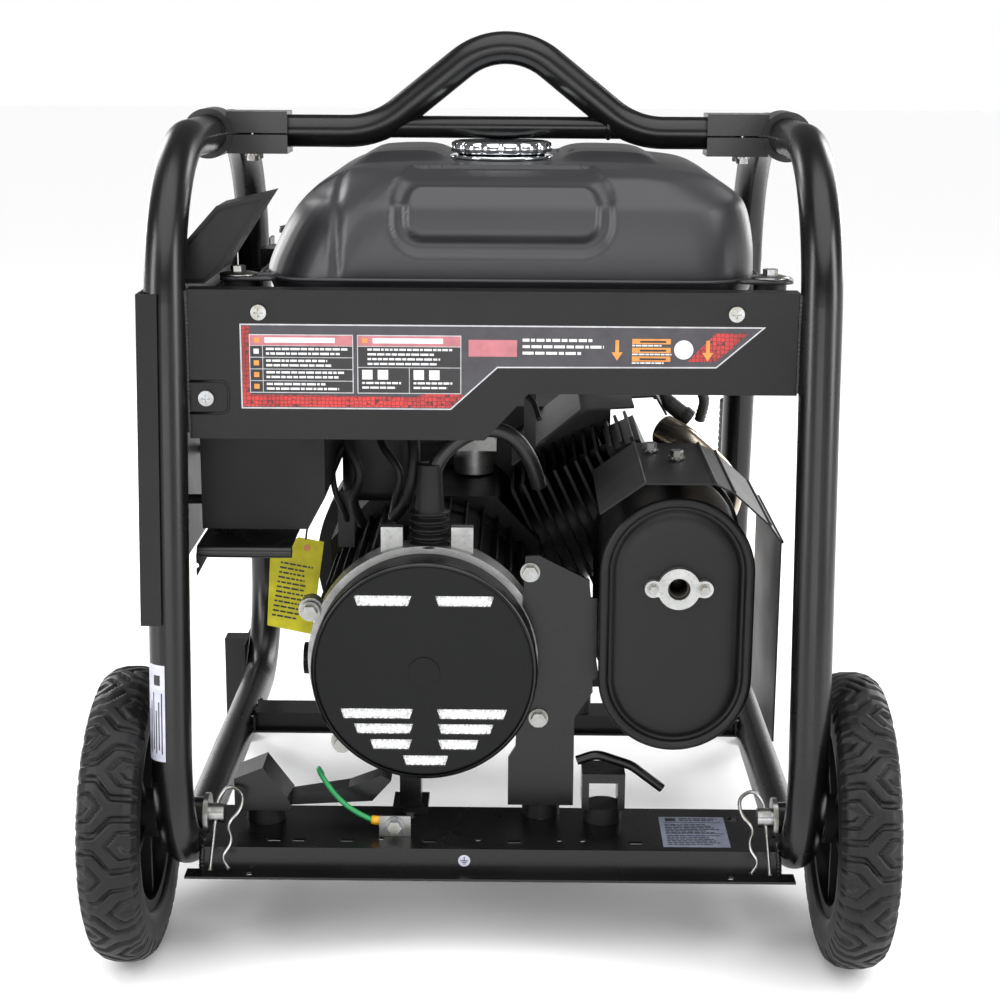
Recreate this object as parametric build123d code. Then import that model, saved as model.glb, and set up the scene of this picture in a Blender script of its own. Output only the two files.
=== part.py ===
from build123d import *
from math import atan, cos, degrees, hypot, pi, radians, sin, tan
import os

# Portable generator in an open tube frame. Millimetres, +Z up, +X towards the muffler.
# -Y is the alternator end with the wheels, +Y is the recoil starter end with the lifting handles.
# Pieces are drawn from a datum FLOOR below the ground, about the middle of the base rails.
# All are then moved together, so that the origin is on the ground under the middle of the machine.

# ---- driving dimensions ----
SHIFT_Y = 12.0
FLOOR = 34.5
TUBE_R = 16.0
TUBE_WALL = 2.0
HOOP_X = 251.0
RAIL_Z = 118.0
TOP_Z = 695.0
BASE_HALF = 300.0
TOP_HALF = 235.0
TOP_BEND = 132.0
BASE_BEND = 95.0
INNER_X = HOOP_X - TUBE_R

AXLE_Y = -235.0
AXLE_Z = 155.0
AXLE_R = 8.0
WHEEL_R = 120.5
WHEEL_IN = 270.5
WHEEL_OUT = 319.0
RIM_R = 80.0
HUB_IN = 22.0
HUB_OUT = 18.0

PAN_TOP = 134.0
SHEET = 2.0
PANEL_Y = -250.0
PANEL_TOP = 589.0

HANDLE_R = 14.0
HANDLE_BAR_R = 9.5
HANDLE_MID = 7.0
HANDLE_PEAK = 763.0

CRANK_X = -55.0
CRANK_Z = 274.0
SHAFT_R = 12.5
COVER_R = 92.0
COVER_FRONT = -222.0
BRACKET_FRONT = -192.0
STATOR_IN_R = 61.0
ROTOR_R = 60.0
CYL_TILT = 25.0

MUFFLER_X = 149.0
MUFFLER_Z = 316.0
MUFFLER_HALF_W = 63.0
MUFFLER_HALF_H = 107.0
MUFFLER_FRONT = -228.0
MUFFLER_BACK = -100.0
OUTLET_X = 150.0
OUTLET_Z = 349.0
OUTLET_R = 9.0

TANK_X = 12.0
TANK_HALF_X = 200.0
TANK_HALF_Y = 205.0
TANK_SEAM = 592.0
TANK_LOW = 552.0
TANK_TOP = 675.0
CAP_X = 4.0
CAP_Y = -38.0

SIDE_X = -269.0
SIDE_LOW = 334.0
SIDE_TOP = 587.0
HOOD_FAR = -160.0

GRIP_PIVOT_Z = 560.0
GRIP_TUBE_R = 12.0

# ---- bolt places, switches and cable routes ----
CLAMP_BOLT_X = 213.0
CLAMP_BOLT_Y = (-16.5, 16.5)
CLIP_X = 226.0
CLIP_LEAN = 40.0
SWITCH_Y = 150.0
IDLE_Y = 105.0
SWITCH_Z = 530.0
BREAKERS = [(-155, 470), (-85, 470), (150, 400)]
OUTLETS = [(-155, 400), (-70, 400), (60, 400)]
PANEL_HOLES = [(y, z, 7.0) for y, z in BREAKERS] + [(40, 530, 22.0), (-60, 535, 9.0)]
ROPE_X = CRANK_X - 62.0
ROPE_Z = CRANK_Z + 62.0
LEAD_ROUTE = [
    (154.4, 10, 459.4),
    (143.4, 10, 483.0),
    (128, 44, 500.0),
    (106, 76, 500.0),
    (86, 106, 488.0),
    (76, 130, 462.0),
    (74, 138, 431.0),
]
HARNESS_ROUTE = [
    (-52, -176, 403.3),
    (-52, -176, 430),
    (-32, -174, 458),
    (2, -172, 470),
    (30, -166, 448),
    (38, -150, 414),
]
GROUND_ROUTE = [
    (-143, -190, 172),
    (-146, -197, 182),
    (-142, -208, 178),
    (-129, -217, 163),
    (-113, -222, 151),
    (-98, -224, 145),
]
LUGS = [(86, 78), (94, -48), (-95, 43), (-70, -72)]
SHIELD_BOLTS = [(152, -150), (132, -120)]
MOUNTS = [(-190, -195, PAN_TOP, 148), (94, -190, PAN_TOP, 148), (42, -178, PAN_TOP, 147.8)]
FAR_MOUNTS = [(-135, 81, PAN_TOP, 167.8), (75, 81, PAN_TOP, 167.8)]

os.makedirs("parts", exist_ok=True)


# ---- small helpers ----
def block(x, y, z):
    """A box between two values on each axis."""
    return Pos((x[0] + x[1]) / 2, (y[0] + y[1]) / 2, (z[0] + z[1]) / 2) * Box(
        x[1] - x[0], y[1] - y[0], z[1] - z[0]
    )


def rod(axis, at, span, radius):
    """A cylinder along an axis; at is the other two coordinates, span its two ends."""
    middle = (span[0] + span[1]) / 2
    solid = Cylinder(radius, span[1] - span[0])
    if axis == "x":
        return Pos(middle, at[0], at[1]) * Rot(0, 90, 0) * solid
    if axis == "y":
        return Pos(at[0], middle, at[1]) * Rot(90, 0, 0) * solid
    return Pos(at[0], at[1], middle) * solid


def pipe(axis, at, span, outer, inner):
    """A round tube along an axis."""
    return rod(axis, at, span, outer) - rod(axis, at, (span[0] - 1, span[1] + 1), inner)


def along_y(points, y):
    """A polygon in the XZ plane, extruded between two Y values."""
    face = Plane.XZ.offset(-y[0]) * make_face(Polyline(*points, close=True))
    return extrude(face, amount=-(y[1] - y[0]))


def along_x(points, x):
    """A polygon in the YZ plane, extruded between two X values."""
    face = Plane.YZ.offset(x[0]) * make_face(Polyline(*points, close=True))
    return extrude(face, amount=x[1] - x[0])


def folded(points, y, thickness=SHEET):
    """A sheet folded along an open XZ profile: mitred strips, one to a run, joined."""
    solids = []
    for first, second in zip(points, points[1:]):
        run = (second[0] - first[0], second[1] - first[1])
        length = hypot(*run)
        normal = (-run[1] / length * thickness, run[0] / length * thickness)
        corners = [
            first,
            second,
            (second[0] + normal[0], second[1] + normal[1]),
            (first[0] + normal[0], first[1] + normal[1]),
        ]
        solids.append(along_y(corners, y))
    joints = [rod("y", p, y, thickness) for p in points[1:-1]]
    result = solids[0]
    for piece in solids[1:] + joints:
        result = result + piece
    return result


def bent_rod(points, radii, radius):
    """A round bar swept along straight runs joined by arcs."""
    path = FilletPolyline(*points, radius=radii)
    start = Plane(origin=path @ 0, z_dir=path % 0)
    return sweep(start * Circle(radius), path=path)


def route_radii(points, share=0.45):
    """Bend radii as large as the runs on both sides of each corner allow."""
    vectors = [Vector(*p) for p in points]
    radii = []
    for before, corner, after in zip(vectors, vectors[1:], vectors[2:]):
        shorter = min((corner - before).length, (after - corner).length)
        turn = (corner - before).get_angle(after - corner)
        radii.append(share * shorter / tan(radians(turn) / 2))
    return radii


def hex_bolt(axis, at, face, out, head_r, head_h, shank_r, shank_l):
    """A hexagon bolt: its head stands from face in direction out (+1 or -1)."""
    head = extrude(RegularPolygon(head_r, 6), amount=head_h)
    washer = Cylinder(head_r * 1.25, 1.5, align=(Align.CENTER, Align.CENTER, Align.MIN))
    shank = Cylinder(shank_r, shank_l, align=(Align.CENTER, Align.CENTER, Align.MAX))
    bolt = washer + Pos(0, 0, 1.5) * head + shank
    turns = {
        ("x", 1): Rot(0, 90, 0),
        ("x", -1): Rot(0, -90, 0),
        ("y", 1): Rot(-90, 0, 0),
        ("y", -1): Rot(90, 0, 0),
        ("z", 1): Rot(0, 0, 0),
        ("z", -1): Rot(180, 0, 0),
    }
    places = {"x": (face, at[0], at[1]), "y": (at[0], face, at[1]), "z": (at[0], at[1], face)}
    return Pos(*places[axis]) * turns[(axis, out)] * bolt


def ring_points(count, radius, start=0.0):
    """Points evenly spaced on a circle."""
    return [
        (radius * cos(radians(start) + 2 * pi * i / count), radius * sin(radians(start) + 2 * pi * i / count))
        for i in range(count)
    ]


def save(name, *solids):
    """Write one node; several solids stay separate in it."""
    moved = [Pos(0, SHIFT_Y, -FLOOR) * solid for solid in solids]
    children = [one for shape in moved for one in shape.solids()]
    shape = children[0] if len(children) == 1 else Compound(children=children)
    export_step(shape, f"parts/{name}.step")


def post_y(z):
    """How far a leaning post stands from the middle at a height, along Y."""
    return BASE_HALF - (BASE_HALF - TOP_HALF) * (z - RAIL_Z) / (TOP_Z - RAIL_Z)


# ---- frame ----
def half_hoop(side, x):
    """Half of one side hoop: base rail, leaning post and top rail as one bent tube."""
    points = [
        (x, 0, RAIL_Z),
        (x, side * BASE_HALF, RAIL_Z),
        (x, side * TOP_HALF, TOP_Z),
        (x, 0, TOP_Z),
    ]
    path = FilletPolyline(*points, radius=[BASE_BEND, TOP_BEND])
    start = Plane(origin=path @ 0, z_dir=path % 0)
    outer = sweep(start * Circle(TUBE_R), path=path)
    inner = sweep(start * Circle(TUBE_R - TUBE_WALL), path=path)
    return outer - inner


def hoop(x):
    """One side hoop of bent tube, with a boss welded on the base bend for the axle pin."""
    ring = half_hoop(-1, x) + half_hoop(1, x)
    out = 1 if x > 0 else -1
    boss = rod("x", (AXLE_Y, AXLE_Z), sorted((out * 235.0, out * 270.0)), 13.0)
    bore = rod("x", (AXLE_Y, AXLE_Z), (x - 40, x + 40), AXLE_R + 0.3)
    return ring + boss - bore


def front_pan():
    """Pressed hat section across the near end, with slots, a lip hole and a flange."""
    top = block((-INNER_X + 0.3, INNER_X - 0.3), (-256, -168), (PAN_TOP - SHEET, PAN_TOP))
    face = block((-INNER_X + 0.3, INNER_X - 0.3), (-256, -256 + SHEET), (112, PAN_TOP))
    flange = block((-248, 248), (-270, -254), (112, 112 + SHEET))
    back = block((-INNER_X + 0.3, INNER_X - 0.3), (-170, -168), (108, PAN_TOP))
    pan = top + face + flange + back
    for x in (-178, -158, -118, -50, 20, 120, 178):
        pan -= Pos(x, -240, PAN_TOP) * extrude(SlotOverall(13, 5), amount=10, both=True)
    for x in (57, 76, -10, -90):
        pan -= rod("z", (x, -236), (PAN_TOP - 5, PAN_TOP + 5), 3.0)
    for x in (-205, -69, 42, 94, 205):
        pan -= rod("z", (x, -190), (PAN_TOP - 5, PAN_TOP + 5), 4.5)
    for x in (-196, 196):
        pan -= rod("z", (x, -263), (108, 118), 3.0)
    return pan


def rear_member():
    """Narrower hat section across the far half, under the engine feet."""
    top = block((-INNER_X + 0.3, INNER_X - 0.3), (63, 99), (PAN_TOP - SHEET, PAN_TOP))
    near = block((-INNER_X + 0.3, INNER_X - 0.3), (63, 65), (116, PAN_TOP))
    far = block((-INNER_X + 0.3, INNER_X - 0.3), (97, 99), (116, PAN_TOP))
    lips = block((-INNER_X + 0.3, INNER_X - 0.3), (55, 65), (116, 118))
    lips += block((-INNER_X + 0.3, INNER_X - 0.3), (97, 107), (116, 118))
    member = top + near + far + lips
    for x in (-150, -120, 60, 90):
        member -= rod("z", (x, 81), (PAN_TOP - 5, PAN_TOP + 5), 4.5)
    return member


def lifting_handle():
    """Raised handle of bent tube across the top, with a straight cross bar under its peak."""
    reach = 205.0
    points = [
        (-reach, 0, 697),
        (HANDLE_MID - 112, 0, 697),
        (HANDLE_MID, 0, HANDLE_PEAK + 23),
        (HANDLE_MID + 112, 0, 697),
        (reach, 0, 697),
    ]
    bar = bent_rod(points, [75, 62, 75], HANDLE_R)
    return bar


def handle_cross_bar():
    """Straight round bar between the two slopes of the handle, cut to their surface."""
    bar = rod("x", (0, 701), (HANDLE_MID - 100, HANDLE_MID + 100), HANDLE_BAR_R)
    return (bar - lifting_handle()).solids().sort_by(SortBy.VOLUME)[-1]


def clamp_half(side, upper):
    """Half of a split clamp: it rings the top rail and holds the handle's end."""
    x = side * HOOP_X
    sign = 1 if upper else -1
    outer = pipe("y", (x, TOP_Z), (-22, 22), TUBE_R + 5.5, TUBE_R + 0.2)
    arm_span = sorted((side * 182, side * 235))
    arm = block(arm_span, (-20, 20), (TOP_Z - 17, TOP_Z + 19))
    arm -= rod("x", (0, 697), (arm_span[0] - 5, arm_span[1] + 5), HANDLE_R + 0.2)
    arm -= rod("y", (x, TOP_Z), (-30, 30), TUBE_R + 0.2)
    both = outer + arm
    for y in CLAMP_BOLT_Y:
        both -= rod("z", (side * CLAMP_BOLT_X, y), (TOP_Z - 30, TOP_Z + 30), 1.6)
    keep = block((x - 90, x + 90), (-40, 40), sorted((TOP_Z + sign * 0.8, TOP_Z + sign * 60)))
    return (both & keep).solids().sort_by(SortBy.VOLUME)[-1]


def clamp_bolts():
    """Hexagon bolts through the clamp halves, two on each side."""
    solids = []
    for side in (-1, 1):
        for y in CLAMP_BOLT_Y:
            solids.append(hex_bolt("z", (side * CLAMP_BOLT_X, y), TOP_Z - 17.1, -1, 5.0, 4.5, 1.5, 35))
    return solids


# ---- wheels ----
def tyre(side):
    """Solid rubber tyre with a crowned tread, turned about the axle."""
    half = (WHEEL_OUT - WHEEL_IN) / 2
    middle = (WHEEL_OUT + WHEEL_IN) / 2
    profile = [
        (-half + 6, RIM_R),
        (-half, RIM_R + 14),
        (-half, WHEEL_R - 12),
        (-half + 7, WHEEL_R - 3),
        (-6, WHEEL_R),
        (6, WHEEL_R),
        (half - 7, WHEEL_R - 3),
        (half, WHEEL_R - 12),
        (half, RIM_R + 14),
        (half - 6, RIM_R),
    ]
    face = make_face(Polyline(*profile, close=True))
    solid = revolve(face, axis=Axis.X)
    return Pos(side * middle, AXLE_Y, AXLE_Z) * solid


def rim(side):
    """Moulded wheel centre: a rim, a dished web with five windows, and a hub."""
    half = 18.0
    middle = (WHEEL_OUT + WHEEL_IN) / 2
    barrel = pipe("x", (0, 0), (-half, half), RIM_R - 0.2, RIM_R - 9)
    web = rod("x", (0, 0), (-5, 5), RIM_R - 6)
    for y, z in ring_points(5, 50, 90):
        web -= rod("x", (y, z), (-10, 10), 15)
    hub = rod("x", (0, 0), sorted((-side * HUB_IN, side * HUB_OUT)), 20)
    for turn in range(5):
        rib = block((-14, 14), (0, RIM_R - 8), (-2.5, 2.5))
        web += Rot(54 + turn * 72, 0, 0) * rib
    solid = barrel + web + hub - rod("x", (0, 0), (-30, 30), AXLE_R + 3.0)
    return Pos(side * middle, AXLE_Y, AXLE_Z) * solid


def bush(side):
    """Plain bearing bush pressed in the hub, running on the axle pin."""
    middle = (WHEEL_OUT + WHEEL_IN) / 2
    span = sorted((side * (middle - HUB_IN), side * (middle + HUB_OUT)))
    return pipe("x", (AXLE_Y, AXLE_Z), span, AXLE_R + 3.0, AXLE_R + 0.06)


def axle_pin(side):
    """Axle pin through the base rail, with a head outside the wheel and a cross hole."""
    pin = rod("x", (AXLE_Y, AXLE_Z), sorted((side * 219, side * 316.2)), AXLE_R)
    head = rod("x", (AXLE_Y, AXLE_Z), sorted((side * 313.2, side * 316.6)), 14)
    hole = Pos(side * CLIP_X, AXLE_Y, AXLE_Z) * Rot(CLIP_LEAN - 90, 0, 0) * Cylinder(1.8, 40)
    return pin + head - hole


def axle_washers():
    """Thrust washer outside each boss and a wide plain washer inside it."""
    solids = []
    for side in (-1, 1):
        outer = sorted((side * 270.2, side * 272.5))
        inner = sorted((side * 231.0, side * 234.8))
        solids.append(pipe("x", (AXLE_Y, AXLE_Z), outer, 14, AXLE_R + 0.05))
        solids.append(pipe("x", (AXLE_Y, AXLE_Z), inner, 16.5, AXLE_R + 0.05))
    return solids


def spring_clip(side):
    """Hairpin clip: one straight leg through the pin, one waved leg past the pin's end."""
    outline = [(0, 51), (0, -14), (8, -26), (21, -18), (20, -2), (9.5, 10), (16, 26), (8, 40), (15, 50)]
    lean = radians(CLIP_LEAN)
    points = [
        (side * (CLIP_X - inward), AXLE_Y - down * cos(lean), AXLE_Z - down * sin(lean))
        for inward, down in outline
    ]
    return bent_rod(points, route_radii(points), 1.5)


# ---- far end: legs and fold-up handles ----
def support_leg(side):
    """Square tube leg outside the far lower bend, with a plate to the rail."""
    x = sorted((side * 270, side * 292))
    leg = block(x, (247, 269), (FLOOR + 16, 150))
    inside = block((x[0] + 2, x[1] - 2), (249, 267), (FLOOR, 148))
    plate = block(sorted((side * 267.3, side * 270)), (225, 285), (104, 150))
    return leg - inside + plate


def rubber_foot(side):
    """Rubber foot plugged into the leg."""
    x = sorted((side * 266, side * 296))
    pad = block(x, (243, 273), (FLOOR, FLOOR + 16))
    plug = block((x[0] + 6.2, x[1] - 6.2), (249.2, 266.8), (FLOOR + 16, FLOOR + 30))
    return pad + plug


def grip_axis():
    """Y of the handle pivot: clear behind the far post."""
    return post_y(GRIP_PIVOT_Z) + TUBE_R + GRIP_TUBE_R + 7.5


def pivot_bracket(side):
    """Two ears behind the far post, carrying the fold-up handle's bolt."""
    x = side * HOOP_X
    y = grip_axis()
    z = GRIP_PIVOT_Z
    ears = []
    for out in (-1, 1):
        span = sorted((x + out * 13, x + out * 16))
        ear = along_x([(y - 22, z - 16), (y + 8, z - 16), (y + 8, z + 16), (y - 24, z + 16)], span)
        ears.append(ear)
    solid = ears[0] + ears[1]
    web = along_x([(y - 24, z - 16), (y - 17, z - 16), (y - 20, z + 16), (y - 27, z + 16)], (x - 16, x + 16))
    solid = solid + web
    post = Pos(x, post_y(z), z) * Rot(degrees(atan((BASE_HALF - TOP_HALF) / (TOP_Z - RAIL_Z))), 0, 0)
    solid -= post * Cylinder(TUBE_R + 0.1, 120)
    solid -= rod("x", (y, z), (x - 30, x + 30), 5.0)
    return solid.solids().sort_by(SortBy.VOLUME)[-1]


def grip_direction():
    """Unit vector (y, z) down along the leaning far post."""
    length = hypot(BASE_HALF - TOP_HALF, TOP_Z - RAIL_Z)
    return ((BASE_HALF - TOP_HALF) / length, -(TOP_Z - RAIL_Z) / length)


def fold_handle(side):
    """Handle tube that hangs beside the far post and swings up level."""
    x = side * HOOP_X
    y = grip_axis()
    z = GRIP_PIVOT_Z
    dy, dz = grip_direction()
    length = 265.0
    top = (x, y - dy * 13, z - dz * 13)
    end = (x, y + dy * length, z + dz * length)
    tube = straight_bar(top, end, GRIP_TUBE_R)
    return tube - rod("x", (y, z), (x - 20, x + 20), 5.0)


def straight_bar(start, end, radius):
    """A round bar between two points."""
    path = Line(start, end)
    return sweep(Plane(origin=start, z_dir=path % 0) * Circle(radius), path=path)


def fold_grip(side):
    """Rubber grip pulled over the end of the fold-up handle."""
    x = side * HOOP_X
    dy, dz = grip_direction()
    y = grip_axis()
    start = (x, y + dy * 160, GRIP_PIVOT_Z + dz * 160)
    close = (x, y + dy * 272, GRIP_PIVOT_Z + dz * 272)
    inner = (x, y + dy * 265, GRIP_PIVOT_Z + dz * 265)
    return straight_bar(start, close, GRIP_TUBE_R + 3.5) - straight_bar(start, inner, GRIP_TUBE_R)


def pivot_bolts():
    """Pivot bolts of the two fold-up handles."""
    solids = []
    for side in (-1, 1):
        x = side * HOOP_X
        y, z = grip_axis(), GRIP_PIVOT_Z
        shank = rod("x", (y, z), (x - 17, x + 17), 4.95)
        heads = rod("x", (y, z), (x - 20, x - 16.2), 8) + rod("x", (y, z), (x + 16.2, x + 20), 8)
        solids.append(shank + heads)
    return solids


# ---- fuel tank ----
def tank_form(grow):
    """The tank's outer form, or its cavity when grow is negative."""
    levels = [
        (TANK_LOW - grow, 172, 178, 40),
        (TANK_SEAM - 22, 190, 194, 42),
        (TANK_SEAM + 3, 198, 202, 44),
        (TANK_SEAM + 36, 192, 198, 46),
        (TANK_SEAM + 58, 172, 180, 48),
        (TANK_SEAM + 72, 148, 158, 50),
        (TANK_TOP - 4 + grow / 2, 118, 140, 52),
        (TANK_TOP + grow, 104, 128, 54),
    ]
    sections = []
    for z, half_x, half_y, corner in levels:
        outline = RectangleRounded(2 * (half_x + grow), 2 * (half_y + grow), corner + grow)
        sections.append(Pos(TANK_X, 0, z) * outline)
    return loft(sections, ruled=True)


def fuel_tank():
    """Steel tank: a hollow shell with a seam flange, corner ears and a filler neck."""
    seam = RectangleRounded(2 * TANK_HALF_X, 2 * TANK_HALF_Y, 46)
    flange = Pos(TANK_X, 0, TANK_SEAM - 1.5) * extrude(seam, amount=3)
    ears = [
        Pos(x, y, TANK_SEAM - 1.5) * extrude(RectangleRounded(44, 36, 10), amount=3)
        for x in (-194, 214)
        for y in (-190, 190)
    ]
    neck = rod("z", (CAP_X, CAP_Y), (TANK_TOP - 18, TANK_TOP + 5), 33)
    body = tank_form(0) + flange + neck
    for ear in ears:
        body += ear
    for x in (-202, 218):
        for y in (-194, 194):
            body -= rod("z", (x, y), (TANK_SEAM - 10, TANK_SEAM + 10), 5)
    return body - tank_form(-3) - rod("z", (CAP_X, CAP_Y), (TANK_TOP - 30, TANK_TOP + 20), 30)


def fuel_cap():
    """Round filler cap with a scalloped rim, over the neck."""
    disc = rod("z", (CAP_X, CAP_Y), (TANK_TOP + 6, TANK_TOP + 15), 42)
    for x, y in ring_points(14, 44.5):
        disc -= rod("z", (CAP_X + x, CAP_Y + y), (TANK_TOP + 2, TANK_TOP + 16), 4)
    skirt = pipe("z", (CAP_X, CAP_Y), (TANK_TOP + 1.5, TANK_TOP + 8), 38, 34)
    plug = rod("z", (CAP_X, CAP_Y), (TANK_TOP - 8, TANK_TOP + 6), 26)
    return disc + skirt + plug


def fuel_gauge():
    """Round float gauge let into the top of the tank."""
    return rod("z", (CAP_X + 76, CAP_Y + 60), (TANK_TOP, TANK_TOP + 6), 17)


def tank_rails():
    """Two rails across the frame that the tank's ears sit on."""
    solids = []
    for y in (-194, 194):
        rail = block((-INNER_X + 0.3, INNER_X - 0.3), (y - 16, y + 16), (572, 574.5))
        rail += block((-INNER_X + 0.3, INNER_X - 0.3), sorted((y - 16, y - 13.5)), (556, 574.5))
        for x in (-202, 218):
            rail -= rod("z", (x, y), (565, 580), 4.6)
        rail -= tank_form(0.6)
        solids.extend(rail.solids())
    return solids


def tank_pads():
    """Rubber pads between the rails and the tank's ears."""
    return [
        pipe("z", (x, y), (574.6, TANK_SEAM - 1.6), 13, 4.6)
        for x in (-202, 218)
        for y in (-194, 194)
    ]


def tank_bolts():
    """Flanged bolts holding the tank's ears."""
    return [
        hex_bolt("z", (x, y), TANK_SEAM + 1.6, 1, 6.0, 6.0, 4.0, 26)
        for x in (-202, 218)
        for y in (-194, 194)
    ]


# ---- end panel and control panel ----
def end_panel():
    """Sheet closing the near end under the tank, with folded lips and a screw pocket."""
    edge = INNER_X - 0.4
    outline = [(-edge, PANEL_TOP), (edge, PANEL_TOP), (edge, 510), (28, 510), (-6, 473), (-edge, 473)]
    sheet = along_y(outline, (PANEL_Y, PANEL_Y + SHEET))
    top = block((-edge, edge), (PANEL_Y, PANEL_Y + 20), (PANEL_TOP - SHEET, PANEL_TOP))
    left_lip = block((-edge, -6), (PANEL_Y, PANEL_Y + 20), (473, 475))
    right_lip = block((28, edge), (PANEL_Y, PANEL_Y + 20), (510, 512))
    sheet = sheet + top + left_lip + right_lip
    for x, z in ((-179, 572), (186, 573), (-221, 505)):
        sheet -= rod("y", (x, z), (PANEL_Y - 5, PANEL_Y + 5), 3)
    return sheet


def end_panel_screws():
    """Three cross-head screws on the end panel."""
    solids = []
    for x, z in ((-179, 572), (186, 573), (-221, 505)):
        head = rod("y", (x, z), (PANEL_Y - 3.2, PANEL_Y - 0.1), 6)
        slot_a = block((x - 3.5, x + 3.5), (PANEL_Y - 5, PANEL_Y - 1.6), (z - 0.7, z + 0.7))
        slot_b = block((x - 0.7, x + 0.7), (PANEL_Y - 5, PANEL_Y - 1.6), (z - 3.5, z + 3.5))
        shank = rod("y", (x, z), (PANEL_Y - 1, PANEL_Y + 9), 2.7)
        solids.append(head + shank - slot_a - slot_b)
    return solids


def decal():
    """Thin printed label on the end panel, with a stepped lower edge."""
    outline = [(-194, 563), (209, 563), (172, 531), (4, 530), (-32, 497), (-194, 497)]
    return along_y(outline, (PANEL_Y - 0.7, PANEL_Y - 0.1))


def control_panel():
    """Steel control panel outside the left hoop, with a folded edge round the near post."""
    near_low = -post_y(SIDE_LOW) - TUBE_R - 1
    near_top = -post_y(SIDE_TOP) - TUBE_R - 1
    far_low, far_top = post_y(SIDE_LOW), post_y(SIDE_TOP)
    outline = [(near_low, SIDE_LOW), (near_top, SIDE_TOP), (far_top, SIDE_TOP), (far_low, SIDE_LOW)]
    sheet = along_x(outline, (SIDE_X - 1, SIDE_X + 1))
    strip = [
        (near_low, SIDE_LOW),
        (near_top, SIDE_TOP),
        (near_top - SHEET, SIDE_TOP),
        (near_low - SHEET, SIDE_LOW),
    ]
    sheet += along_x(strip, (SIDE_X - 1, SIDE_X + 15))
    for y, z, r in PANEL_HOLES:
        sheet -= rod("x", (y, z), (SIDE_X - 5, SIDE_X + 5), r)
    for y in (SWITCH_Y, IDLE_Y):
        sheet -= block((SIDE_X - 5, SIDE_X + 5), (y - 12.2, y + 12.2), (SWITCH_Z - 17.2, SWITCH_Z + 17.2))
    return sheet


def panel_hood():
    """Short folded sleeve over the near end of the control panel, leaning in over the hoop."""
    outer = [(SIDE_X, 589), (-215, 649), (-173, 659), (-212, 600), (-226, 589)]
    inner = [(SIDE_X + 5, 590.8), (-214, 646.6), (-177, 655.6), (-213.5, 601.6), (-227, 590.8)]
    return along_y(outer, (-215, HOOD_FAR)) - along_y(inner, (-216, HOOD_FAR + 1))


def panel_box():
    """Moulded cover behind the control panel, with one bevelled lower edge."""
    outer = [(-233, 392), (-148, 392), (-134, 418), (-134, 548), (-233, 548)]
    inner = [(-231, 395), (-149.6, 395), (-137, 419), (-137, 545), (-231, 545)]
    return along_y(outer, (-216, 40)) - along_y(inner, (-213, 37))


def panel_studs():
    """Four screws through spacers that hold the rear cover to the control panel."""
    return [
        rod("x", (y, z), (SIDE_X + 1.2, -233.2), 4)
        for y in (-190, 6)
        for z in (410, 535)
    ]


def outlets():
    """Duplex and round sockets on the control panel."""
    solids = []
    for y, z in OUTLETS:
        wide = 36 if y < 0 else 26
        body = block((SIDE_X - 6, SIDE_X - 1.1), (y - wide, y + wide), (z - 24, z + 24))
        for dy in ((-16, 16) if y < 0 else (0,)):
            face = rod("x", (y + dy, z), (SIDE_X - 9, SIDE_X - 6), 14)
            for oy, oz in ((-4, 3), (4, 3), (0, -6)):
                face -= rod("x", (y + dy + oy, z + oz), (SIDE_X - 12, SIDE_X - 5), 1.8)
            body += face
        solids.append(body)
    return solids


def outlet_cover(index):
    """Hinged weather cover over one socket, with knuckles on its top edge."""
    y, z = OUTLETS[index]
    wide = 38 if y < 0 else 28
    lid = block((SIDE_X - 13, SIDE_X - 10.5), (y - wide, y + wide), (z - 26, z + 26))
    for sign in (-1, 1):
        lid += block((SIDE_X - 13, SIDE_X - 7), (y + sign * wide - 1, y + sign * wide + 1), (z - 26, z + 18))
    knuckle = rod("y", (SIDE_X - 9, z + 30), (y - wide + 12, y + wide - 12), 3.5)
    strap = block((SIDE_X - 12.5, SIDE_X - 9.5), (y - wide + 12, y + wide - 12), (z + 25, z + 30))
    return lid + knuckle + strap - rod("y", (SIDE_X - 9, z + 30), (y - wide, y + wide), 1.55)


def cover_hinges():
    """Hinge pins and their end blocks above the sockets."""
    solids = []
    for y, z in OUTLETS:
        wide = 38 if y < 0 else 28
        pin = rod("y", (SIDE_X - 9, z + 30), (y - wide + 2, y + wide - 2), 1.5)
        for sign in (-1, 1):
            a, b = sorted((y + sign * (wide - 2), y + sign * (wide - 11.5)))
            pin += block((SIDE_X - 12, SIDE_X - 1.1), (a, b), (z + 27, z + 33))
        solids.append(pin)
    return solids


def breaker(index):
    """Push-to-reset breaker button, free in its collar."""
    y, z = BREAKERS[index]
    return rod("x", (y, z), (SIDE_X - 9, SIDE_X + 6), 4.9) + rod("x", (y, z), (SIDE_X + 6, SIDE_X + 8), 7.5)


def breaker_collars():
    """Threaded collars of the breakers."""
    solids = []
    for y, z in BREAKERS:
        collar = pipe("x", (y, z), (SIDE_X - 5, SIDE_X + 5), 6.9, 5.0)
        collar += pipe("x", (y, z), (SIDE_X - 4.5, SIDE_X - 1.1), 9.5, 5.0)
        solids.append(collar)
    return solids


def rocker(y):
    """Rocker switch paddle with a slight break in its face."""
    z = SWITCH_Z
    points = [(0, -13), (-7, -13), (-4, 0), (-7, 13), (0, 13), (3, 6), (3, -6)]
    face = make_face(Polyline(*points, close=True))
    solid = extrude(Plane.XZ * face, amount=8, both=True)
    return Pos(SIDE_X - 1, y, z) * solid


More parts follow.
